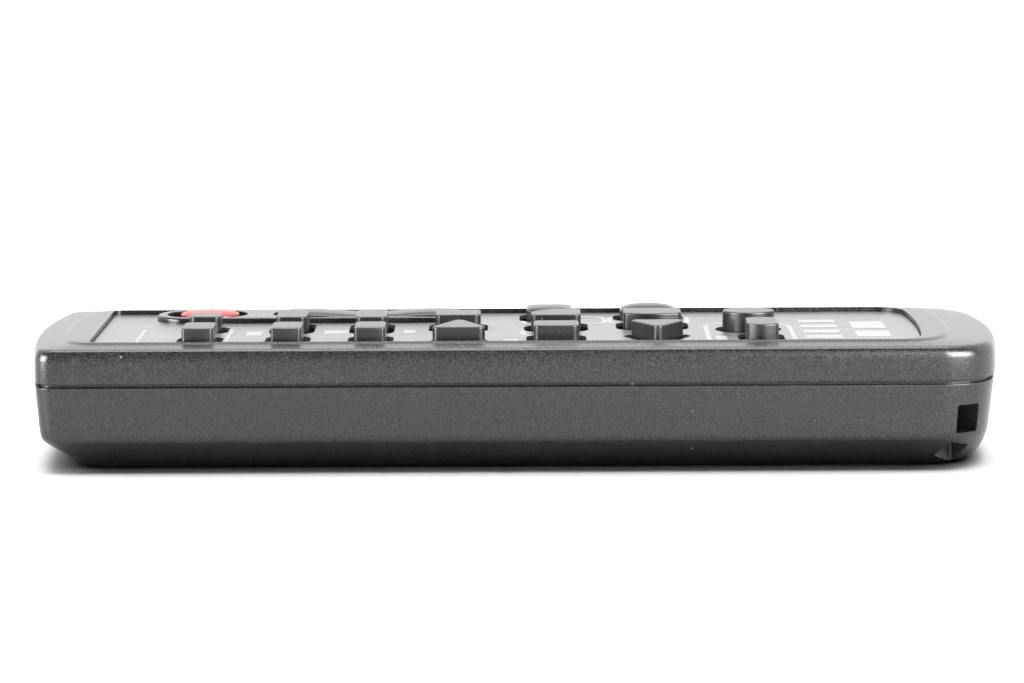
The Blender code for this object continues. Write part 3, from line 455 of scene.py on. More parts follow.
def rounded_ends(corners, radius, smooth_count):
    """Round only the true corners: the first, the last of the bow, and the two far ones."""
    points = []
    count = len(corners)
    for i in range(count):
        if 0 < i < smooth_count:
            points.append(corners[i])
            continue
        here = Vector(corners[i])
        before = Vector(corners[i - 1]) - here
        after = Vector(corners[(i + 1) % count]) - here
        half = before.angle(after) / 2
        reach = min(radius / math.tan(half), before.length * 0.95, after.length * 0.95)
        size = reach * math.tan(half)
        centre = here + (before.normalized() + after.normalized()).normalized() * (size / math.sin(half))
        first = here + before.normalized() * reach - centre
        last = here + after.normalized() * reach - centre
        start = math.atan2(first.y, first.x)
        sweep = (math.atan2(last.y, last.x) - start) % (2 * math.pi)
        points += arc(centre.x, centre.y, size, start, start + sweep, 6)
    return points


def plate_plan(grow, steps=12):
    """Plan of the label plate: square at the head, bowed and rounder at the tail."""
    x0, x1 = PLATE_X[0] - grow, PLATE_X[1] + grow
    half = PLATE_Y + grow
    head, tail = 1.2 + grow, 5.0 + grow
    bulge = 0.1
    end_radius = (half - tail) / math.sin(bulge) + tail
    end_x = x1 - end_radius
    tail_x = end_x + (end_radius - tail) * math.cos(bulge)
    quarter = math.pi / 2
    points = arc(x0 + head, head - half, head, -2 * quarter, -quarter, steps)
    points += arc(tail_x, tail - half, tail, -quarter, -bulge, steps)
    points += arc(end_x, 0.0, end_radius, -bulge, bulge, steps)[1:-1]
    points += arc(tail_x, half - tail, tail, bulge, quarter, steps)
    return points + arc(x0 + head, half - head, head, quarter, 2 * quarter, steps)


def add_loft(bm, rings):
    rows = [[bm.verts.new((x, y, z)) for x, y in outline] for outline, z in rings]
    count = len(rows[0])
    for low, high in zip(rows, rows[1:]):
        for i in range(count):
            j = (i + 1) % count
            bm.faces.new((low[i], low[j], high[j], high[i]))
    bm.faces.new(list(reversed(rows[0])))
    bm.faces.new(rows[-1])


def add_box(bm, x0, x1, y0, y1, z0, z1):
    place = Matrix.Translation(((x0 + x1) / 2, (y0 + y1) / 2, (z0 + z1) / 2))
    place = place @ Matrix.Diagonal((x1 - x0, y1 - y0, z1 - z0, 1.0))
    bmesh.ops.create_cube(bm, size=1.0, matrix=place)


def add_cylinder(bm, x, y, z0, z1, radius, steps=40):
    bmesh.ops.create_cone(bm, cap_ends=True, segments=steps, radius1=radius, radius2=radius,
                          depth=z1 - z0, matrix=Matrix.Translation((x, y, (z0 + z1) / 2)))


def add_object(name, bm, mat=None):
    bmesh.ops.recalc_face_normals(bm, faces=bm.faces)
    bmesh.ops.scale(bm, vec=(MM, MM, MM), verts=bm.verts)
    mesh = bpy.data.meshes.new(name)
    bm.to_mesh(mesh)
    bm.free()
    if mat is not None:
        mesh.materials.append(mat)
    obj = bpy.data.objects.new(name, mesh)
    bpy.context.scene.collection.objects.link(obj)
    return obj


def carve(obj, tools, operation="DIFFERENCE"):
    """Apply cutters one after another, then remove them."""
    for tool in tools:
        mod = obj.modifiers.new("carve", "BOOLEAN")
        mod.operation = operation
        mod.solver = "EXACT"
        mod.object = tool
    bake(obj)
    for tool in tools:
        if tool.name in bpy.data.objects:
            bpy.data.objects.remove(tool, do_unlink=True)


def bake(obj):
    """Replace an object's mesh by its evaluated mesh and drop its modifiers."""
    bpy.context.view_layer.update()
    graph = bpy.context.evaluated_depsgraph_get()
    mesh = bpy.data.meshes.new_from_object(obj.evaluated_get(graph))
    obj.modifiers.clear()
    obj.data = mesh


def soften(obj, angle=35.0, weighted=True):
    """Smooth shading that keeps real edges and keeps flat faces flat."""
    obj.data.shade_smooth()
    obj.data.set_sharp_from_angle(angle=angle * DEG)
    if weighted:
        mod = obj.modifiers.new("even", "WEIGHTED_NORMAL")
        mod.keep_sharp = True
        mod.weight = 80
        bake(obj)
    return obj


def settle(obj, body, slot, *nodes):
    """Hand a finished piece to the frame."""
    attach(obj, body)
    if nodes:
        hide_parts(*nodes)
    return obj


# ------------------------------------------------------------------ key shapes

def apex_far(cx, y0, y1, width):
    return rounded([(cx - width / 2, y0), (cx + width / 2, y0), (cx, y1)], KEY_CORNER, 9)


def apex_near(cx, y0, y1, width):
    return rounded([(cx, y0), (cx + width / 2, y1), (cx - width / 2, y1)], KEY_CORNER, 9)


KEY_PLANS = {
    "key_a1": bowed(-51.2, -13.15, 5.05, 7.6, 0.25),
    "key_a2": bowed(-36.8, -13.1, 4.9, 8.0, 0.2),
    "key_a3": bowed(-23.2, -12.9, 4.95, 7.5, 0.2),
    "key_a4": apex_far(-8.7, -16.3, -6.4, 9.6),
    "key_a5": rectangle(7.2, -11.9, 7.35, 6.0),
    "key_a6": apex_near(23.8, -16.6, -8.3, 9.8),
    "key_a7": bowed(40.8, -12.5, 5.1, 8.4, 1.0),
    "key_b1": rectangle(-51.2, -0.4, 5.1, 5.2),
    "key_b2": rectangle(-36.8, 0.9, 5.05, 9.2),
    "key_b3": rectangle(-23.5, 0.3, 5.05, 8.6),
    "key_b4": rectangle(-9.1, 1.2, 7.4, 6.4),
    "key_b5": rounded([(3.1, -2.4), (11.3, -2.4), (11.3, 4.9), (6.6, 4.9), (3.1, 1.9)], KEY_CORNER),
    "key_b6": bowed(23.3, 1.9, 9.6, 7.0, 1.1),
    "key_b7": oval(39.2, -1.7, 8.5, 7.0, 56),
    "key_c5": rectangle(6.1, 12.4, 7.6, 6.2),
    "key_c6": bowed(22.9, 13.2, 9.4, 6.6, 2.4, far=True),
    "record_key": stadium(-51.7, GUARD_CENTRE, 9.9, GUARD_Y[1] - GUARD_Y[0] - 3.5),
}
KEY_DOMES = {"key_c5": 0.4, "key_c6": 0.8, "record_key": 0.6}
KEY_TOP = 23.0
KEY_TOPS = {"key_a7": 23.3, "key_b7": 23.55, "key_c5": 22.5, "key_c6": 22.65, "record_key": 21.9}
KEY_FLANGES = {"key_a7": 1.4, "key_b7": 1.5, "record_key": 1.4}
FLANGE_Z = (16.8, 18.0)
STEM_BOTTOM = 15.1


# ------------------------------------------------------------------ repeats by Geometry Nodes

class Tree:
    """Short way to lay out a geometry tree with named inputs."""

    def __init__(self, name):
        self.tree = bpy.data.node_groups.new(name, "GeometryNodeTree")
        self.face = self.tree.interface
        self.face.new_socket("Geometry", in_out="INPUT", socket_type="NodeSocketGeometry")
        self.face.new_socket("Geometry", in_out="OUTPUT", socket_type="NodeSocketGeometry")
        self.names = {}

    def size(self, name, default):
        socket = self.face.new_socket(name, in_out="INPUT", socket_type="NodeSocketFloat")
        socket.default_value = default
        self.names[name] = socket.identifier

    def whole(self, name, default):
        socket = self.face.new_socket(name, in_out="INPUT", socket_type="NodeSocketInt")
        socket.default_value = default
        self.names[name] = socket.identifier

    def finish_of(self, name):
        socket = self.face.new_socket(name, in_out="INPUT", socket_type="NodeSocketMaterial")
        self.names[name] = socket.identifier

    def start(self):
        self.source = self.tree.nodes.new("NodeGroupInput")
        self.result = self.tree.nodes.new("NodeGroupOutput")
        return self.source

    def add(self, kind, values=None, **settings):
        node = self.tree.nodes.new(kind)
        for key, value in settings.items():
            setattr(node, key, value)
        for key, value in (values or {}).items():
            if isinstance(value, bpy.types.NodeSocket):
                self.tree.links.new(value, node.inputs[key])
            else:
                node.inputs[key].default_value = value
        return node

    def end(self, geometry, mat_socket):
        real = self.add("GeometryNodeRealizeInstances", {"Geometry": geometry})
        paint = self.add("GeometryNodeSetMaterial", {"Geometry": real.outputs[0], "Material": mat_socket})
        self.tree.links.new(paint.outputs[0], self.result.inputs[0])


def grow(name, tree, inputs):
    """Run a geometry tree on an empty mesh and keep the result as a plain mesh."""
    mesh = bpy.data.meshes.new(name)
    obj = bpy.data.objects.new(name, mesh)
    bpy.context.scene.collection.objects.link(obj)
    mod = obj.modifiers.new("grow", "NODES")
    mod.node_group = tree.tree
    for key, value in inputs.items():
        mod[tree.names[key]] = value
    bake(obj)
    return obj


def screw_tree():
    """Pan head with a cross slot: a lathed dome and two bars cut from it, then a threaded shank."""
    t = Tree("case screw")
    for name, value in (("Head radius", 0.00225), ("Head height", 0.0015), ("Shank radius", 0.001),
                        ("Shank length", 0.0088), ("Thread pitch", 0.0014), ("Slot width", 0.00056),
                        ("Place X", 0.0), ("Place Y", 0.0), ("Seat Z", 0.0085)):
        t.size(name, value)
    t.finish_of("Steel")
    source = t.start()
    out = source.outputs
    # Head: a sphere flattened to a pan, its open side closed by a disc against the boss
    ball = t.add("GeometryNodeMeshUVSphere", {"Segments": 40, "Rings": 24, "Radius": out["Head radius"]})
    at = t.add("GeometryNodeInputPosition")
    split = t.add("ShaderNodeSeparateXYZ", {"Vector": at.outputs[0]})
    lean = t.add("ShaderNodeMath", {0: split.outputs["Z"], 1: out["Head radius"]}, operation="DIVIDE")
    flat = t.add("ShaderNodeMath", {0: lean.outputs[0], 1: 0.0}, operation="MINIMUM")
    drop = t.add("ShaderNodeMath", {0: flat.outputs[0], 1: out["Head height"]}, operation="MULTIPLY")
    pan = t.add("ShaderNodeCombineXYZ", {"X": split.outputs["X"], "Y": split.outputs["Y"],
                                         "Z": drop.outputs[0]})
    head = t.add("GeometryNodeSetPosition", {"Geometry": ball.outputs["Mesh"], "Position": pan.outputs[0]})
    deep = t.add("ShaderNodeMath", {0: out["Head height"], 1: -1.0}, operation="MULTIPLY")
    low = t.add("ShaderNodeCombineXYZ", {"Z": deep.outputs[0]})
    wide = t.add("ShaderNodeMath", {0: out["Head radius"], 1: 1.25}, operation="MULTIPLY")
    bars = []
    for first, second in (("X", "Y"), ("Y", "X")):
        size = t.add("ShaderNodeCombineXYZ", {first: wide.outputs[0], second: out["Slot width"],
                                              "Z": out["Head height"]})
        bar = t.add("GeometryNodeMeshCube", {"Size": size.outputs[0]})
        moved = t.add("GeometryNodeTransform", {"Geometry": bar.outputs["Mesh"], "Translation": low.outputs[0]})
        bars.append(moved.outputs[0])
    cut = t.add("GeometryNodeMeshBoolean", {"Mesh 1": head.outputs[0], "Mesh 2": bars[0]}, operation="DIFFERENCE")
    cut = t.add("GeometryNodeMeshBoolean", {"Mesh 1": cut.outputs[0], "Mesh 2": bars[1]}, operation="DIFFERENCE")
    # Shank: a rod whose radius swells and falls once each thread pitch
    rod = t.add("GeometryNodeMeshCylinder", {"Vertices": 24, "Side Segments": 96, "Fill Segments": 1,
                                             "Radius": out["Shank radius"], "Depth": out["Shank length"]})
    spot = t.add("GeometryNodeInputPosition")
    parts = t.add("ShaderNodeSeparateXYZ", {"Vector": spot.outputs[0]})
    turn = t.add("ShaderNodeMath", {0: parts.outputs["Y"], 1: parts.outputs["X"]}, operation="ARCTAN2")
    along = t.add("ShaderNodeMath", {0: parts.outputs["Z"], 1: out["Thread pitch"]}, operation="DIVIDE")
    cycle = t.add("ShaderNodeMath", {0: along.outputs[0], 1: 2 * math.pi, 2: turn.outputs[0]},
                  operation="MULTIPLY_ADD")
    wave = t.add("ShaderNodeMath", {0: cycle.outputs[0]}, operation="SINE")
    swell = t.add("ShaderNodeMath", {0: wave.outputs[0], 1: 0.12, 2: 0.86}, operation="MULTIPLY_ADD")
    around = t.add("ShaderNodeCombineXYZ", {"X": swell.outputs[0], "Y": swell.outputs[0], "Z": 1.0})
    threaded = t.add("ShaderNodeVectorMath", {0: spot.outputs[0], 1: around.outputs[0]}, operation="MULTIPLY")
    shank = t.add("GeometryNodeSetPosition", {"Geometry": rod.outputs["Mesh"], "Position": threaded.outputs[0]})
    half = t.add("ShaderNodeMath", {0: out["Shank length"], 1: 0.5}, operation="MULTIPLY")
    up = t.add("ShaderNodeCombineXYZ", {"Z": half.outputs[0]})
    shank = t.add("GeometryNodeTransform", {"Geometry": shank.outputs[0], "Translation": up.outputs[0]})
    both = t.add("GeometryNodeMeshBoolean", {"Mesh 2": cut.outputs[0]}, operation="UNION")
    t.tree.links.new(shank.outputs[0], both.inputs["Mesh 2"])
    place = t.add("ShaderNodeCombineXYZ", {"X": out["Place X"], "Y": out["Place Y"], "Z": out["Seat Z"]})
    whole = t.add("GeometryNodeTransform", {"Geometry": both.outputs[0], "Translation": place.outputs[0]})
    t.end(whole.outputs[0], out["Steel"])
    return t


def spring_tree():
    """Conical coil lying along X: a spiral curve swept with a round wire."""
    t = Tree("battery spring")
    for name, value in (("Start X", 0.0), ("Start Y", 0.0), ("Start Z", 0.0), ("Length", 0.003),
                        ("Base radius", 0.0034), ("Tip radius", 0.0021), ("Wire radius", 0.0003),
                        ("Turns", 4.0), ("Facing", 1.0)):
        t.size(name, value)
    t.finish_of("Steel")
    out = t.start().outputs
    coil = t.add("GeometryNodeCurveSpiral", {"Resolution": 36, "Rotations": out["Turns"],
                                             "Start Radius": out["Base radius"],
                                             "End Radius": out["Tip radius"], "Height": out["Length"]})
    wire = t.add("GeometryNodeCurvePrimitiveCircle", {"Resolution": 10, "Radius": out["Wire radius"]})
    tube = t.add("GeometryNodeCurveToMesh", {"Curve": coil.outputs[0], "Profile Curve": wire.outputs[0],
                                             "Fill Caps": True})
    tip = t.add("ShaderNodeMath", {0: out["Facing"], 1: math.pi / 2}, operation="MULTIPLY")
    lay = t.add("ShaderNodeCombineXYZ", {"Y": tip.outputs[0]})
    place = t.add("ShaderNodeCombineXYZ", {"X": out["Start X"], "Y": out["Start Y"], "Z": out["Start Z"]})
    moved = t.add("GeometryNodeTransform", {"Geometry": tube.outputs[0], "Translation": place.outputs[0],
                                            "Rotation": lay.outputs[0]})
    t.end(moved.outputs[0], out["Steel"])
    return t


def rib_tree():
    """A row of rounded cutters, each shorter than the last, for the door's grip grooves."""
    t = Tree("grip grooves")
    for name, value in (("First X", 0.0), ("Step", 0.0015), ("Width", 0.0007), ("Length", 0.012),
                        ("Taper", 0.0018), ("Depth", 0.00035)):
        t.size(name, value)
    t.whole("Count", 5)
    t.finish_of("Plastic")
    out = t.start().outputs
    points = t.add("GeometryNodeMeshLine", {"Count": out["Count"]}, mode="OFFSET")
    back = t.add("ShaderNodeMath", {0: out["Step"], 1: -1.0}, operation="MULTIPLY")
    move = t.add("ShaderNodeCombineXYZ", {"X": back.outputs[0]})
    t.tree.links.new(move.outputs[0], points.inputs["Offset"])
    first = t.add("ShaderNodeCombineXYZ", {"X": out["First X"]})
    t.tree.links.new(first.outputs[0], points.inputs["Start Location"])
    rod = t.add("GeometryNodeMeshCylinder", {"Vertices": 20, "Radius": 0.5, "Depth": 1.0})
    lie = t.add("GeometryNodeTransform", {"Geometry": rod.outputs["Mesh"], "Rotation": (math.pi / 2, 0.0, 0.0)})
    index = t.add("GeometryNodeInputIndex")
    loss = t.add("ShaderNodeMath", {0: index.outputs[0], 1: out["Taper"]}, operation="MULTIPLY")
    reach = t.add("ShaderNodeMath", {0: out["Length"], 1: loss.outputs[0]}, operation="SUBTRACT")
    twice = t.add("ShaderNodeMath", {0: out["Depth"], 1: 2.0}, operation="MULTIPLY")
    size = t.add("ShaderNodeCombineXYZ", {"X": out["Width"], "Y": reach.outputs[0], "Z": twice.outputs[0]})
    row = t.add("GeometryNodeInstanceOnPoints", {"Points": points.outputs[0], "Instance": lie.outputs[0],
                                                 "Scale": size.outputs[0]})
    t.end(row.outputs[0], out["Plastic"])
    return t


def outline_tree():
    """A rounded outline standing on the label plate, as screen-printed ink does."""
    t = Tree("printed outline")
    for name, value in (("Centre X", 0.0), ("Centre Y", 0.0), ("Width", 0.01), ("Depth", 0.01),
                        ("Corner", 0.0015), ("Line width", 0.0004), ("Ink height", 0.00003),
                        ("Sheet Z", 0.0203)):
        t.size(name, value)
    t.finish_of("Ink")
    out = t.start().outputs
    quad = t.add("GeometryNodeCurvePrimitiveQuadrilateral", {"Width": out["Width"], "Height": out["Depth"]})
    soft = t.add("GeometryNodeFilletCurve", {"Curve": quad.outputs[0], "Radius": out["Corner"]}, mode="POLY")
    soft.inputs["Count"].default_value = 10
    line = t.add("GeometryNodeCurvePrimitiveQuadrilateral", {"Width": out["Line width"],
                                                             "Height": out["Ink height"]})
    stroke = t.add("GeometryNodeCurveToMesh", {"Curve": soft.outputs[0], "Profile Curve": line.outputs[0]})
    half = t.add("ShaderNodeMath", {0: out["Ink height"], 1: 0.5, 2: out["Sheet Z"]}, operation="MULTIPLY_ADD")
    place = t.add("ShaderNodeCombineXYZ", {"X": out["Centre X"], "Y": out["Centre Y"], "Z": half.outputs[0]})
    moved = t.add("GeometryNodeTransform", {"Geometry": stroke.outputs[0], "Translation": place.outputs[0]})
    t.end(moved.outputs[0], out["Ink"])
    return t


# ------------------------------------------------------------------ tools shared by the case pieces

def case_rings(levels, steps=(7, 18, 26)):
    rings = []
    for z, side, head, tail, head_corner, tail_corner in levels:
        rings.append((case_outline(side, head, tail, head_corner, tail_corner, steps), z))
    return rings


def tool(name, build):
    """A cutter from a function that fills a bmesh."""
    bm = bmesh.new()
    build(bm)
    return add_object(name, bm)


def box_tools(name, *limits):
    """Boxes that may touch, one cutter each."""
    return [tool("%s_%d" % (name, i), lambda bm, b=b: add_box(bm, *b)) for i, b in enumerate(limits)]


def key_holes(bm):
    for name, plan in KEY_PLANS.items():
        if name != "record_key":
            hole = offset(plan, KEY_HOLE_GAP)
            add_loft(bm, [(hole, DECK_UNDERSIDE - 0.8), (hole, CASE_TOP + 0.6)])


def guard_openings(bm):
    wide = GUARD_Y[1] - GUARD_Y[0] - 2 * GUARD_WALL
    for x0, x1 in ((GUARD_X[0] + GUARD_WALL + 0.6, GUARD_DIVIDER[0]), (GUARD_DIVIDER[1], GUARD_X[1] - GUARD_WALL)):
        plan = stadium((x0 + x1) / 2, sum(GUARD_Y) / 2, x1 - x0, wide)
        add_loft(bm, [(plan, DECK_UNDERSIDE - 0.8), (plan, CASE_TOP + 1.5)])


def window_plan(gap, steps=16):
    """Plan of the window: the bow of the head outside and straight inside."""
    radius = (HALF_WIDTH - HEAD_CORNER) / math.sin(HEAD_BULGE) + HEAD_CORNER
    centre = CASE_X[0] + radius
    half = WINDOW_Y + gap
    outer = []
    for i in range(steps + 1):
        y = half * (2 * i / steps - 1)
        outer.append((centre - math.sqrt(radius ** 2 - y ** 2) - (2.0 if gap else 0.0), y))
    inner = CASE_X[0] + WALL + 0.6 + gap
    return list(reversed(outer)) + [(inner, -half), (inner, half)]


def window_hole(bm):
    plan = window_plan(0.12)
    add_loft(bm, [(plan, WINDOW_Z[0] - 0.12), (plan, WINDOW_Z[1] + 0.12)])


GUARD_WALL = 1.0
GUARD_DIVIDER = (-45.3, -40.9)
WINDOW_Y = span("ir_window", 1)[1]
WINDOW_Z = span("ir_window", 2)


# ------------------------------------------------------------------ operators

class REMOTE_OT_front_shell(bpy.types.Operator):
    """Build the upper half of the case, with its rolled rim, plate pocket and key openings"""
    bl_idname = "remote.front_shell"
    bl_label = "Front shell"

    def execute(self, context):
        levels = [
            (SKIRT_Z, 0.16, 0.16, 0.16, HEAD_CORNER, TAIL_CORNER),
            (SKIRT_Z + 0.05, 0.06, 0.06, 0.06, HEAD_CORNER, TAIL_CORNER),
            (SKIRT_Z + 0.17, 0.0, 0.0, 0.0, HEAD_CORNER, TAIL_CORNER),
            (17.0, 0.01, 0.01, 0.02, HEAD_CORNER, TAIL_CORNER),
            (18.5, 0.03, 0.03, 0.06, HEAD_CORNER, TAIL_CORNER),
            (19.1, 0.09, 0.1, 0.16, HEAD_CORNER, TAIL_CORNER),
            (19.55, 0.18, 0.2, 0.31, HEAD_CORNER, TAIL_CORNER),
            (19.9, 0.29, 0.32, 0.48, HEAD_CORNER, TAIL_CORNER),
            (20.14, 0.42, 0.46, 0.67, HEAD_CORNER, TAIL_CORNER),
            (20.3, 0.58, 0.62, 0.92, HEAD_CORNER, TAIL_CORNER),
            (20.4, 0.8, 0.85, 1.24, HEAD_CORNER, TAIL_CORNER),
            (20.46, 1.15, 1.22, 1.75, HEAD_CORNER, TAIL_CORNER),
            (20.53, 1.75, 1.8, 2.5, HEAD_CORNER, TAIL_CORNER),
            (CASE_TOP - 0.44, 2.8, 3.4, 5.0, 3.2, 8.3),
            (CASE_TOP - 0.36, 3.72, 4.82, 7.4, 3.8, 7.7),
            (CASE_TOP - 0.29, 3.95, 5.05, 7.68, 3.8, 7.6),
            (CASE_TOP - 0.18, 4.2, 5.3, 7.95, 3.8, 7.6),
            (CASE_TOP - 0.06, 4.45, 5.55, 8.2, 3.8, 7.6),
            (CASE_TOP, 4.68, 5.78, 8.43, 3.8, 7.6),
        ]
        bm = bmesh.new()
        add_loft(bm, case_rings(levels))
        shell = add_object("case_front", bm, finish("case"))
        skirt = 0.8
        lip_z = PARTING_Z + 1.7
        inner = [
            (SKIRT_Z - 1.0, skirt, skirt, skirt, HEAD_CORNER - skirt, TAIL_CORNER - skirt),
            (lip_z, skirt, skirt, skirt, HEAD_CORNER - skirt, TAIL_CORNER - skirt),
            (lip_z, WALL, WALL, WALL, HEAD_CORNER - WALL, TAIL_CORNER - WALL),
            (DECK_UNDERSIDE, WALL, WALL, WALL, HEAD_CORNER - WALL, TAIL_CORNER - WALL),
        ]
        cavity = tool("cavity", lambda b: add_loft(b, case_rings(inner, (4, 10, 12))))
        posts = tool("posts", lambda b: [add_cylinder(b, x, y, 15.1, DECK_UNDERSIDE + 0.4, 2.6)
                                         for x, y in SCREW_PLACES])
        carve(cavity, [posts])
        pocket = plate_plan(0.1)
        cutters = [cavity]
        cutters.append(tool("pocket", lambda b: add_loft(b, [(pocket, POCKET_FLOOR), (pocket, CASE_TOP + 0.6)])))
        cutters.append(tool("holes", key_holes))
        cutters.append(tool("guard_hole", guard_openings))
        cutters.append(tool("pilots", lambda b: [add_cylinder(b, x, y, 14.6, 17.9, 1.06, 20)
                                                 for x, y in SCREW_PLACES]))
        cutters.append(tool("window_hole", window_hole))
        carve(shell, cutters)
        soften(shell, 40)
        settle(shell, "case", "case", "front_shell")
        return {"FINISHED"}


class REMOTE_OT_rear_shell(bpy.types.Operator):
    """Build the lower half of the case: tapering tub, battery bay, screw bores and lanyard bar"""
    bl_idname = "remote.rear_shell"
    bl_label = "Rear shell"

    def execute(self, context):
        lip = HEAD_CORNER - 1.0
        levels = [
            (0.0, 7.9, 9.2, 7.2, 2.6, 6.4),
            (0.03, 7.5, 8.7, 6.3, 2.6, 6.8),
            (0.12, 7.1, 8.2, 5.8, 2.6, 7.0),
            (0.5, 6.5, 7.1, 4.3, 2.7, 7.4),
            (1.2, 5.68, 6.13, 3.17, 2.8, 7.8),
            (1.95, 4.82, 5.17, 2.55, 2.85, 8.0),
            (2.7, 3.93, 4.18, 2.08, 2.9, 8.2),
            (3.45, 3.03, 3.17, 1.76, 2.9, 8.4),
            (4.2, 2.12, 2.17, 1.48, 2.9, 8.6),
            (4.65, 1.58, 1.7, 1.38, 2.9, 8.7),
            (5.0, 1.14, 1.32, 1.28, 2.9, 8.8),
            (5.3, 0.84, 1.05, 1.19, 2.9, 8.9),
            (5.6, 0.62, 0.85, 1.1, 2.8, TAIL_CORNER),
            (6.0, 0.49, 0.68, 1.02, 2.7, TAIL_CORNER),
            (6.6, 0.4, 0.55, 0.95, HEAD_CORNER, TAIL_CORNER),
            (PARTING_Z - 0.2, 0.0, 0.0, 0.2, HEAD_CORNER, TAIL_CORNER),
            (PARTING_Z - 0.06, 0.05, 0.05, 0.25, HEAD_CORNER, TAIL_CORNER),
            (PARTING_Z, 0.16, 0.16, 0.36, HEAD_CORNER, TAIL_CORNER),
            (PARTING_Z, 1.0, 1.0, 1.0, lip, TAIL_CORNER - 1.0),
            (PARTING_Z + 1.4, 1.0, 1.0, 1.0, lip, TAIL_CORNER - 1.0),
        ]
        bm = bmesh.new()
        add_loft(bm, case_rings(levels))
        shell = add_object("case_rear", bm, finish("tub"))
        floor, inner = 1.5, HEAD_CORNER - WALL
        hollow = [
            (floor, 9.2, 11.0, 7.0, inner, 5.0),
            (6.4, 2.4, 3.0, 3.0, inner, TAIL_CORNER - WALL),
            (PARTING_Z - 2.0, 1.9, 1.9, 1.9, inner, TAIL_CORNER - WALL),
            (PARTING_Z + 1.9, WALL, WALL, WALL, inner, TAIL_CORNER - WALL),
        ]
        cavity = tool("tub", lambda b: add_loft(b, case_rings(hollow, (4, 10, 12))))
        rest = BOARD_Z[0] - 0.15
        low = floor - 0.5
        keep = [tool("bosses", lambda b: [add_cylinder(b, x, y, low, 14.8, 3.6) for x, y in SCREW_PLACES])]
        keep += box_tools("wall",
                          (BAY_X[0] - 1.4, BAY_X[0] - 0.2, -22.5, 22.5, low, rest),
                          (BAY_X[1] + 0.2, BAY_X[1] + 1.4, -22.5, 22.5, low, rest),
                          (-16.6, -15.6, -22.5, 22.5, low, rest),
                          (-42.6, -41.6, -22.5, 22.5, low, rest),
                          (BAY_X[0] + 0.2, BAY_X[1] - 0.2, -BAY_Y - 1.2, -BAY_Y - 0.1, low, rest),
                          (BAY_X[0] + 0.2, BAY_X[1] - 0.2, BAY_Y + 0.1, BAY_Y + 1.2, low, rest),
                          (65.2, 81.5, -25.0, -13.4, low, PARTING_Z - 0.6))
        carve(cavity, keep)
        cutters = [cavity]
        cutters += box_tools("bay", (BAY_X[0], BAY_X[1], -BAY_Y, BAY_Y, -1.0, floor + 0.3),
                             (BAY_X[0] - 2.2, BAY_X[0] + 1.0, -12.5, -9.7, floor + 0.05, 6.6),
                             (BAY_X[0] - 2.2, BAY_X[0] + 1.0, 9.7, 12.5, floor + 0.05, 6.6))
        cutters.append(tool("bores", lambda b: [add_cylinder(b, x, y, -1.0, BORE_TOP, BORE_RADIUS)
                                                for x, y in SCREW_PLACES]))
        cutters.append(tool("screw_holes", lambda b: [add_cylinder(b, x, y, BORE_TOP - 0.5, 15.3, 1.25, 24)
                                                      for x, y in SCREW_PLACES]))
        cutters += self.lanyard()
        notch = Matrix.Translation((BAY_X[1] + 0.6, 0.0, -0.7)) @ Matrix.Diagonal((3.4, 5.0, 1.5, 1.0))
        cutters.append(tool("notch", lambda b: bmesh.ops.create_uvsphere(
            b, u_segments=40, v_segments=20, radius=1.0, matrix=notch)))
        cutters.append(tool("window_hole", window_hole))
        carve(shell, cutters)
        soften(shell, 40)
        settle(shell, "case", "case", "rear_shell")
        return {"FINISHED"}

    def lanyard(self):
        """Two square tunnels that meet behind the bar a lanyard loops round."""
        half, wide = LANYARD_SIDE / 2, LANYARD_MOUTH / 2
        turn = Matrix.Translation((*LANYARD_AT, 0.0)) @ Matrix.Rotation(LANYARD_TURN, 4, "Z")
        tools = []
        for limits, name in (((-half, half, -half, half, -1.0, LANYARD_Z[1] - 0.3), "upright"),
                             ((-wide, wide, -9.0, half, *LANYARD_Z), "side")):
            piece = tool(name, lambda b, c=limits: add_box(b, *c))
            piece.data.transform(Matrix.Diagonal((1 / MM, 1 / MM, 1 / MM, 1.0)))
            piece.data.transform(turn)
            piece.data.transform(Matrix.Diagonal((MM, MM, MM, 1.0)))
            edge = piece.modifiers.new("edge", "BEVEL")
            edge.width, edge.segments = 0.3 * MM, 3
            bake(piece)
            tools.append(piece)
        return tools


class REMOTE_OT_door(bpy.types.Operator):
    """Build the battery door: panel, hinge tabs, latch tongue and grip grooves"""
    bl_idname = "remote.door"
    bl_label = "Battery door"

    def execute(self, context):
        x0, x1 = BAY_X[0] + 0.2, BAY_X[1] - 0.2
        half = BAY_Y - 0.2
        plan = rectangle((x0 + x1) / 2, 0.0, x1 - x0, 2 * half, 0.5)
        bm = bmesh.new()
        add_loft(bm, [(offset(plan, -0.16), 0.0), (offset(plan, -0.05), 0.05), (plan, 0.16), (plan, 1.45)])
        door = add_object("door_panel", bm, finish("tub"))
        feet, tabs = [], []
        for side in (-1, 1):
            y0, y1 = sorted((side * 9.9, side * 12.2))
            feet.append((x0 + 0.5, x0 + 1.5, y0 + 0.05, y1 - 0.05, 1.1, 2.1))
            tabs.append((BAY_X[0] - 1.3, x0 + 1.6, y0, y1, 1.65, 2.6))
        extras = feet + tabs + [(x1 - 0.95, x1 - 0.05, -4.0, 4.0, 1.0, 3.9)]
        carve(door, box_tools("lug", *extras), "UNION")
        grooves = grow("grooves", rib_tree(), {
            "First X": (x1 - 5.0) * MM, "Step": 1.5 * MM, "Width": sizes().grip_width, "Length": 12.0 * MM,
            "Taper": 1.8 * MM, "Depth": 0.35 * MM, "Count": 5, "Plastic": finish("tub")})
        carve(door, [grooves])
        soften(door, 40)
        settle(door, "battery_door_body", "case", "battery_door")
        return {"FINISHED"}


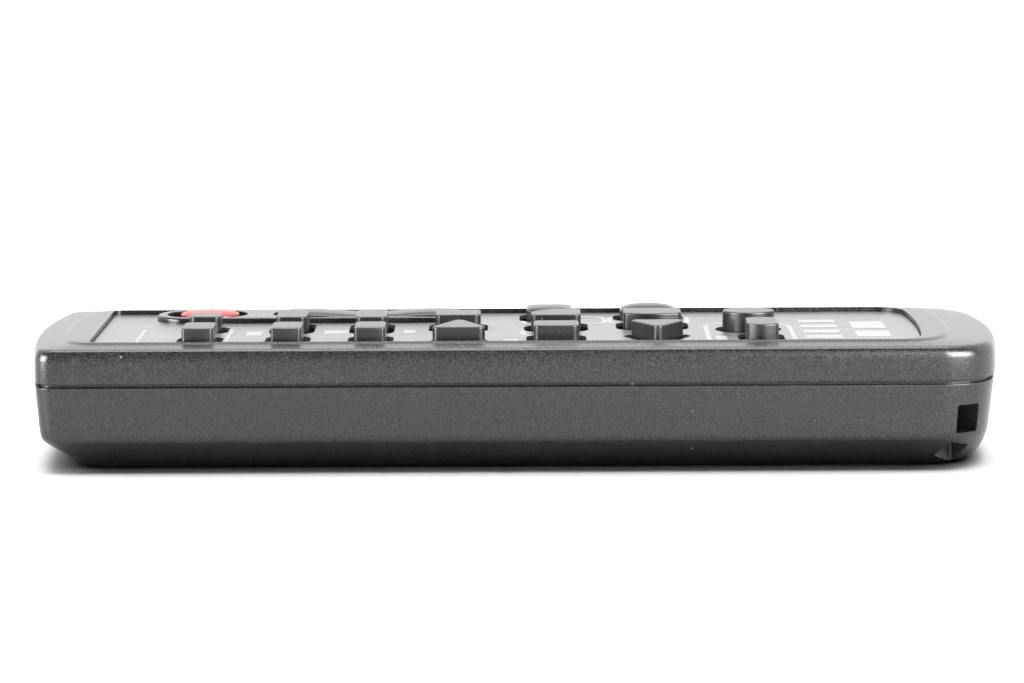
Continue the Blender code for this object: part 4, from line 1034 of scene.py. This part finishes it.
class REMOTE_OT_plate(bpy.types.Operator):
    """Build the label plate with its key openings and the ink printed on it"""
    bl_idname = "remote.plate"
    bl_label = "Label plate"

    def execute(self, context):
        plan = plate_plan(0.0)
        z0, z1 = PLATE_Z
        bm = bmesh.new()
        add_loft(bm, [(plan, z0), (plan, z1 - 0.08), (offset(plan, -0.08), z1)])
        plate = add_object("label_plate", bm, finish("plate"))
        wide = GUARD_Y[1] - GUARD_Y[0] + 0.24
        seat = stadium(sum(GUARD_X) / 2, sum(GUARD_Y) / 2, GUARD_X[1] - GUARD_X[0] + 0.24, wide)
        carve(plate, [tool("holes", key_holes),
                      tool("seat", lambda b: add_loft(b, [(seat, z0 - 0.5), (seat, z1 + 0.5)]))])
        soften(plate, 30)
        settle(plate, "case", "plate", "face_plate")
        self.outlines(z1)
        self.bars(z1)
        return {"FINISHED"}

    def outlines(self, z1):
        """Rounded outlines that group the keys."""
        frames = ((9.2, -13.0, 15.6, 8.4, 2.6), (8.6, -4.4, 13.8, 8.8, 3.0), (8.6, 9.0, 13.6, 9.4, 3.0),
                  (22.9, 9.0, 13.2, 9.4, 3.0), (39.2, -6.0, 14.0, 21.0, 3.6))
        tree = outline_tree()
        marks = []
        for i, (x, y, wx, wy, corner) in enumerate(frames):
            marks.append(grow("outline_%d" % i, tree, {
                "Centre X": x * MM, "Centre Y": y * MM, "Width": wx * MM, "Depth": wy * MM,
                "Corner": corner * MM, "Line width": sizes().ink_width, "Ink height": sizes().ink_height,
                "Sheet Z": z1 * MM, "Ink": finish("ink")}))
        whole = join("printed_outlines", marks, finish("ink"))
        holes = tool("holes", lambda b: key_holes(b))
        carve(whole, [holes])
        settle(soften(whole, 40, False), "case", "plate")

    def bars(self, z1):
        """Plain printed bars and blocks."""
        high = z1 + sizes().ink_height / MM
        strips = ((-61.7, -61.2, -17.4, 0.5), (-47.1, -46.6, -17.4, 0.5), (-58.3, -55.4, -17.2, -13.6),
                  (-44.0, -41.4, -17.2, -13.6), (-44.2, -41.6, -7.0, -2.4), (-31.3, -27.4, -17.2, -14.2),
                  (-31.3, -27.2, -5.2, -1.2), (-18.1, -16.2, -16.8, -13.0), (-18.1, -16.2, -5.2, -1.2),
                  (-1.4, 1.0, -16.0, -12.2), (33.4, 35.2, -15.2, -9.6), (48.2, 54.2, -12.4, -9.0),
                  (48.2, 54.2, -6.4, -3.0), (48.2, 54.2, -0.4, 3.0), (48.2, 54.2, 5.6, 8.6),
                  (56.6, 62.2, -11.0, -4.2), (56.6, 62.2, -1.6, 6.6))
        bm = bmesh.new()
        for x0, x1, y0, y1 in strips:
            plan = rectangle((x0 + x1) / 2, (y0 + y1) / 2, x1 - x0, y1 - y0, 0.25, 4)
            add_loft(bm, [(plan, z1 - 0.01), (plan, high)])
        bars = add_object("printed_bars", bm, finish("ink"))
        settle(soften(bars, 40, False), "case", "plate")


class REMOTE_OT_guard(bpy.types.Operator):
    """Build the raised rim round the record key and the zoom rocker"""
    bl_idname = "remote.guard"
    bl_label = "Key guard"

    def execute(self, context):
        wide = GUARD_Y[1] - GUARD_Y[0]
        plan = stadium(sum(GUARD_X) / 2, sum(GUARD_Y) / 2, GUARD_X[1] - GUARD_X[0], wide, 30)
        z0, z1 = GUARD_Z
        bm = bmesh.new()
        add_loft(bm, [(plan, z0), (plan, z1 - 0.5), (offset(plan, -0.04), z1 - 0.3), (offset(plan, -0.12), z1 - 0.14),
                      (offset(plan, -0.24), z1 - 0.04), (offset(plan, -0.38), z1)])
        guard = add_object("guard_rim", bm, finish("guard"))
        carve(guard, [tool("openings", guard_openings)])
        edge = guard.modifiers.new("edge", "BEVEL")
        edge.width, edge.segments, edge.limit_method, edge.angle_limit = 0.14 * MM, 3, "ANGLE", 60 * DEG
        bake(guard)
        soften(guard, 50)
        settle(guard, "case", "guard", "key_guard")
        return {"FINISHED"}


class REMOTE_OT_window(bpy.types.Operator):
    """Build the infrared window in the head"""
    bl_idname = "remote.window"
    bl_label = "Infrared window"

    def execute(self, context):
        plan = window_plan(0.0)
        z0, z1 = WINDOW_Z
        bm = bmesh.new()
        add_loft(bm, [(plan, z0), (plan, z1)])
        window = add_object("window_lens", bm, finish("window"))
        edge = window.modifiers.new("edge", "BEVEL")
        edge.width, edge.segments, edge.limit_method, edge.angle_limit = 0.2 * MM, 3, "ANGLE", 50 * DEG
        bake(window)
        soften(window, 40)
        settle(window, "case", "window", "ir_window")
        return {"FINISHED"}


def key_mesh(name, plan, mat):
    """A moulded key: stem, retaining flange under the deck, and a cap with a soft edge."""
    top = KEY_TOPS.get(name, KEY_TOP)
    dome = KEY_DOMES.get(name, 0.0)
    flange = KEY_FLANGES.get(name, 1.9)
    stem = offset(plan, -0.5)
    skirt = offset(plan, flange)
    rings = [(stem, STEM_BOTTOM), (stem, FLANGE_Z[0]), (skirt, FLANGE_Z[0]), (skirt, FLANGE_Z[1]),
             (offset(plan, 0.12), FLANGE_Z[1])]
    if dome:
        middle = sum((Vector(p) for p in plan), Vector((0, 0))) / len(plan)
        rings.append((offset(plan, 0.02), top - dome - 0.25))
        rings.append((plan, top - dome - 0.1))
        for part, rise in ((0.985, 0.06), (0.95, 0.2), (0.9, 0.38), (0.82, 0.57), (0.72, 0.74), (0.58, 0.87),
                           (0.42, 0.95), (0.22, 0.99), (0.08, 1.0)):
            rings.append(([tuple(middle + (Vector(p) - middle) * part) for p in plan],
                          top - dome + dome * rise))
    else:
        edge = sizes().key_edge / MM
        rings.append((offset(plan, 0.02), top - edge - 0.1))
        for i in range(7):
            turn = math.pi / 2 * i / 6
            rings.append((offset(plan, -edge * (1 - math.cos(turn))), top - edge + edge * math.sin(turn) - 0.03))
        rings.append((offset(plan, -edge - 0.5), top - 0.01))
    bm = bmesh.new()
    add_loft(bm, rings)
    return add_object(name + "_cap", bm, mat)


class REMOTE_OT_keys(bpy.types.Operator):
    """Build the sixteen grey rubber keys"""
    bl_idname = "remote.keys"
    bl_label = "Rubber keys"

    def execute(self, context):
        for name, plan in KEY_PLANS.items():
            if name == "record_key":
                continue
            key = key_mesh(name, plan, finish("rubber"))
            soften(key, 50)
            settle(key, name + "_body", "key_rubber", name)
        return {"FINISHED"}


class REMOTE_OT_record(bpy.types.Operator):
    """Build the red record key"""
    bl_idname = "remote.record"
    bl_label = "Record key"

    def execute(self, context):
        key = key_mesh("record_key", KEY_PLANS["record_key"], finish("record"))
        soften(key, 50)
        settle(key, "record_key_body", "record_rubber", "record_key")
        return {"FINISHED"}


class REMOTE_OT_rocker(bpy.types.Operator):
    """Build the zoom rocker with its raised ends and its feet"""
    bl_idname = "remote.rocker"
    bl_label = "Zoom rocker"

    def execute(self, context):
        middle, half = sum(ROCKER_X) / 2, (ROCKER_X[1] - ROCKER_X[0]) / 2
        across, wide = sum(ROCKER_Y) / 2, (ROCKER_Y[1] - ROCKER_Y[0]) / 2
        bm = bmesh.new()
        rows = []
        steps = 72
        for i in range(steps + 1):
            t = -math.cos(math.pi * i / steps)
            end = half - abs(t) * half
            y = wide * math.sqrt(max(0.03, 1 - ((wide - end) / wide) ** 2)) if end < wide else wide
            top = 21.3 + 0.55 * (1 - math.cos(math.pi * min(1.0, abs(t) * 1.5))) / 2
            top -= 0.45 * max(0.0, (abs(t) - 0.86) / 0.14) ** 2
            upper = []
            for j in range(17):
                u = -math.cos(math.pi * j / 16)
                upper.append((u * y, top - 0.5 * abs(u) ** 5))
            section = [(-y, 16.9), (y, 16.9)] + list(reversed(upper))
            rows.append([bm.verts.new((middle + t * half, across + v, z)) for v, z in section])
        for low, high in zip(rows, rows[1:]):
            for i in range(len(low)):
                j = (i + 1) % len(low)
                bm.faces.new((low[i], low[j], high[j], high[i]))
        bm.faces.new(rows[0])
        bm.faces.new(rows[-1])
        rocker = add_object("rocker_bar", bm, finish("rubber"))
        feet = [tool("foot_%d" % side, lambda b, s=side: add_cylinder(
            b, middle + s * (half - 3.6), across, STEM_BOTTOM + 0.15, 17.4, 2.0)) for side in (-1, 1)]
        foot = [(middle + u, w) for u, w in arc(0.0, 15.95, 0.8, math.pi, 2 * math.pi, 16)]
        foot += [(middle + 0.8, 17.4), (middle - 0.8, 17.4)]
        bm = bmesh.new()
        near = [bm.verts.new((u, across - 2.2, w)) for u, w in foot]
        far = [bm.verts.new((u, across + 2.2, w)) for u, w in foot]
        for i in range(len(foot)):
            j = (i + 1) % len(foot)
            bm.faces.new((near[i], near[j], far[j], far[i]))
        bm.faces.new(near)
        bm.faces.new(list(reversed(far)))
        feet.append(add_object("pivot", bm))
        carve(rocker, feet, "UNION")
        soften(rocker, 50)
        settle(rocker, "zoom_rocker_body", "key_rubber", "zoom_rocker")
        return {"FINISHED"}


class REMOTE_OT_screws(bpy.types.Operator):
    """Build the four case screws"""
    bl_idname = "remote.screws"
    bl_label = "Case screws"

    def execute(self, context):
        tree = screw_tree()
        for i, (x, y) in enumerate(SCREW_PLACES):
            low, high = span("case_screw_%d" % (i + 1), 2)
            screw = grow("screw_%d" % (i + 1), tree, {
                "Head radius": sizes().screw_radius, "Place X": x * MM, "Place Y": y * MM,
                "Seat Z": (low + 1.5) * MM, "Shank length": (high - low - 1.5) * MM, "Steel": finish("screw")})
            soften(screw, 40)
            settle(screw, "case", "screw_steel", "case_screw_%d" % (i + 1))
        return {"FINISHED"}


class REMOTE_OT_springs(bpy.types.Operator):
    """Build the two conical battery springs"""
    bl_idname = "remote.springs"
    bl_label = "Battery springs"

    def execute(self, context):
        tree = spring_tree()
        for name, facing in (("spring_a", 1.0), ("spring_b", -1.0)):
            x0, x1 = span(name, 0)
            cy, cz = (sum(span(name, axis)) / 2 for axis in (1, 2))
            wire = 0.3
            start = x0 + wire if facing > 0 else x1 - wire
            spring = grow(name + "_coil", tree, {
                "Start X": start * MM, "Start Y": cy * MM, "Start Z": cz * MM,
                "Length": (x1 - x0 - 2 * wire) * MM, "Facing": facing, "Steel": finish("contact")})
            soften(spring, 50)
            settle(spring, "case", "contact_steel", name)
        return {"FINISHED"}


class REMOTE_OT_insides(bpy.types.Operator):
    """Finish the pieces inside the case"""
    bl_idname = "remote.insides"
    bl_label = "Inside pieces"

    def execute(self, context):
        looks = {
            "key_mat": "rubber", "circuit_board": "board", "emitter_a": "lamp", "emitter_b": "lamp",
            "controller_chip": "chip", "driver_transistor": "chip", "resonator": "resonator",
            "reservoir_capacitor": "capacitor", "contact_minus": "contact", "contact_plus": "contact",
            "contact_link": "contact", "cell_a": "cell_a", "cell_b": "cell_b",
        }
        for node, look in looks.items():
            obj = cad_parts[node]
            obj.data.materials.clear()
            obj.data.materials.append(finish(look))
        return {"FINISHED"}


class REMOTE_OT_stage(bpy.types.Operator):
    """Lay the floor and set the lights and the camera"""
    bl_idname = "remote.stage"
    bl_label = "Stage"

    def execute(self, context):
        self.floor()
        self.lights()
        self.camera()
        return {"FINISHED"}

    def floor(self):
        bm = bmesh.new()
        bmesh.ops.create_grid(bm, x_segments=8, y_segments=8, size=3000.0)
        floor = add_object("studio_floor", bm)
        net = Nodes("studio paper")
        soft = net.noise(9.0, 4.0, 0.5)
        tone = net.mix(soft, shade(tuple(colours().floor), 0.995), tuple(colours().floor))
        # Painted contact shadow: ambient occlusion within 7 mm paints the floor nearly black where the case stands on
        # it.
        gap = net.add("ShaderNodeAmbientOcclusion", samples=16)
        gap.inputs["Distance"].default_value = 0.007
        tone = net.mix(net.spread(gap.outputs["AO"], 0.12, 0.5, 0.0, 1.0), (0.02, 0.02, 0.022), tone)
        floor.data.materials.append(net.finish(tone, 0.9, None, Specular_IOR_Level=0.0))

    def lights(self):
        bpy.context.scene.world = studio_world()
        for name, place, aim, wide, tall, power in STUDIO_LIGHTS:
            light = bpy.data.lights.new(name, "AREA")
            light.shape = "RECTANGLE"
            light.size, light.size_y, light.energy = wide, tall, power
            lamp = bpy.data.objects.new(name, light)
            bpy.context.scene.collection.objects.link(lamp)
            lamp.location = place
            lamp.rotation_euler = (Vector(aim) - Vector(place)).to_track_quat("-Z", "Y").to_euler()
            lamp.visible_diffuse = False
        bpy.context.scene.view_settings.view_transform = "Standard"
        bpy.context.scene.view_settings.look = "None"

    def camera(self):
        data = bpy.data.cameras.new("studio camera")
        data.lens = 126.56
        data.sensor_width = 36.0
        data.clip_start, data.clip_end = 0.05, 20.0
        camera = bpy.data.objects.new("studio camera", data)
        bpy.context.scene.collection.objects.link(camera)
        turn = Matrix.Rotation(0.437 * DEG, 4, "Z") @ Matrix.Rotation((90 - 8.446) * DEG, 4, "X")
        turn = turn @ Matrix.Rotation(-0.325 * DEG, 4, "Z")
        camera.matrix_world = Matrix.Translation((0.00439, -0.5951, 0.1065)) @ turn
        bpy.context.scene.camera = camera


STUDIO_LIGHTS = (
    ("tail softbox", (0.68, -0.74, 0.26), (0.07, -0.02, 0.018), 0.9, 0.2, 34.0),
    ("head card", (-0.66, -0.42, 0.15), (-0.078, -0.02, 0.016), 0.5, 0.24, 15.0),
)


def studio_world():
    """White tent open towards the camera: bright above, behind and at both sides, dark in front."""
    world = bpy.data.worlds.new("studio")
    world.use_nodes = True
    tree = world.node_tree
    glow = tree.nodes["Background"]
    where = tree.nodes.new("ShaderNodeTexCoord")
    split = tree.nodes.new("ShaderNodeSeparateXYZ")
    tree.links.new(where.outputs["Generated"], split.inputs["Vector"])
    levels = []
    for axis, limits in (("Y", (-0.22, 0.05, 0.02, 1.8)), ("Z", (0.88, 0.99, 0.0, 9.5))):
        node = tree.nodes.new("ShaderNodeMapRange")
        node.interpolation_type = "SMOOTHSTEP"
        for key, value in zip(("From Min", "From Max", "To Min", "To Max"), limits):
            node.inputs[key].default_value = value
        tree.links.new(split.outputs[axis], node.inputs["Value"])
        levels.append(node.outputs["Result"])
    level = tree.nodes.new("ShaderNodeMath")
    level.operation = "MAXIMUM"
    for source, socket in zip(levels, level.inputs):
        tree.links.new(source, socket)
    tree.links.new(level.outputs["Value"], glow.inputs["Strength"])
    glow.inputs["Color"].default_value = (1.0, 1.0, 1.0, 1.0)
    return world


def join(name, objects, mat):
    """Join several meshes into one object."""
    bm = bmesh.new()
    for obj in objects:
        bm.from_mesh(obj.data)
    mesh = bpy.data.meshes.new(name)
    bm.to_mesh(mesh)
    bm.free()
    mesh.materials.append(mat)
    for obj in objects:
        bpy.data.objects.remove(obj, do_unlink=True)
    whole = bpy.data.objects.new(name, mesh)
    bpy.context.scene.collection.objects.link(whole)
    return whole


def finish(name):
    """The material of that name, made the first time it is asked for."""
    known = bpy.data.materials.get("look_" + name)
    return known or LOOKS[name]("look_" + name)


def tint(name):
    return tuple(getattr(colours(), name))


def cell_look(name, node):
    low, high = span(node, 0)
    return cell_jacket(name, (0.03, 0.035, 0.04), low, high)


LOOKS = {
    # For the case and tub the last number sets how strongly glints are painted on the grain; the other grained
    # finishes keep the default.
    "case": lambda n: grained(n, tint("case"), 0.28, sizes().grain, 0.5, 0.00003, 0.018, 0.9),
    "tub": lambda n: grained(n, tint("case"), 0.32, sizes().grain, 0.5, 0.00002, 0.012, 0.6),
    "plate": lambda n: printed_sheet(n, tint("plate")),
    "ink": lambda n: ink(n, tint("print_ink")),
    "rubber": lambda n: grained(n, tint("rubber"), 0.32, 0.00016, 0.4, 0.00001, 0.03),
    "record": lambda n: grained(n, tint("record"), 0.32, 0.00016, 0.3, 0.00001, 0.02),
    "guard": lambda n: grained(n, tint("guard"), 0.26, 0.0002, 0.3, 0.00001, 0.015),
    "window": lambda n: window_plastic(n, tint("window")),
    "board": lambda n: laminate(n, (0.22, 0.14, 0.06)),
    "lamp": lambda n: resin(n, (0.10, 0.10, 0.2), 0.08, 0.6),
    "chip": lambda n: grained(n, (0.02, 0.02, 0.021), 0.5, 0.0001, 0.3, 0.00002),
    "resonator": lambda n: resin(n, (0.6, 0.2, 0.03), 0.25),
    "capacitor": lambda n: resin(n, (0.02, 0.03, 0.1), 0.22),
    "contact": lambda n: plated_steel(n, (0.6, 0.59, 0.56), 0.3),
    "screw": lambda n: plated_steel(n, (0.2, 0.2, 0.21), 0.36),
    "cell_a": lambda n: cell_look(n, "cell_a"),
    "cell_b": lambda n: cell_look(n, "cell_b"),
}


class REMOTE_PT_panel(bpy.types.Panel):
    """Lists the remote's settings and the operators that build it"""
    bl_idname = "REMOTE_PT_panel"
    bl_label = "Pocket remote"
    bl_space_type = "VIEW_3D"
    bl_region_type = "UI"
    bl_category = "Remote"

    def draw(self, context):
        for group in (context.scene.remote_colours, context.scene.remote_sizes):
            column = self.layout.column(align=True)
            for key in group.__annotations__:
                column.prop(group, key)
        for operator in OPERATORS:
            self.layout.operator(operator.bl_idname)


GROUPS = (REMOTE_PG_colours, REMOTE_PG_sizes)
OPERATORS = (
    REMOTE_OT_front_shell,
    REMOTE_OT_rear_shell,
    REMOTE_OT_door,
    REMOTE_OT_plate,
    REMOTE_OT_guard,
    REMOTE_OT_window,
    REMOTE_OT_keys,
    REMOTE_OT_record,
    REMOTE_OT_rocker,
    REMOTE_OT_screws,
    REMOTE_OT_springs,
    REMOTE_OT_insides,
    REMOTE_OT_stage,
)


def register():
    for cls in GROUPS + OPERATORS + (REMOTE_PT_panel,):
        bpy.utils.register_class(cls)
    bpy.types.Scene.remote_colours = bpy.props.PointerProperty(type=REMOTE_PG_colours)
    bpy.types.Scene.remote_sizes = bpy.props.PointerProperty(type=REMOTE_PG_sizes)


def unregister():
    del bpy.types.Scene.remote_sizes
    del bpy.types.Scene.remote_colours
    for cls in reversed(GROUPS + OPERATORS + (REMOTE_PT_panel,)):
        bpy.utils.unregister_class(cls)


def main():
    register()
    for operator in OPERATORS:
        group, action = operator.bl_idname.split(".")
        getattr(getattr(bpy.ops, group), action)()


if __name__ == "__main__":
    main()
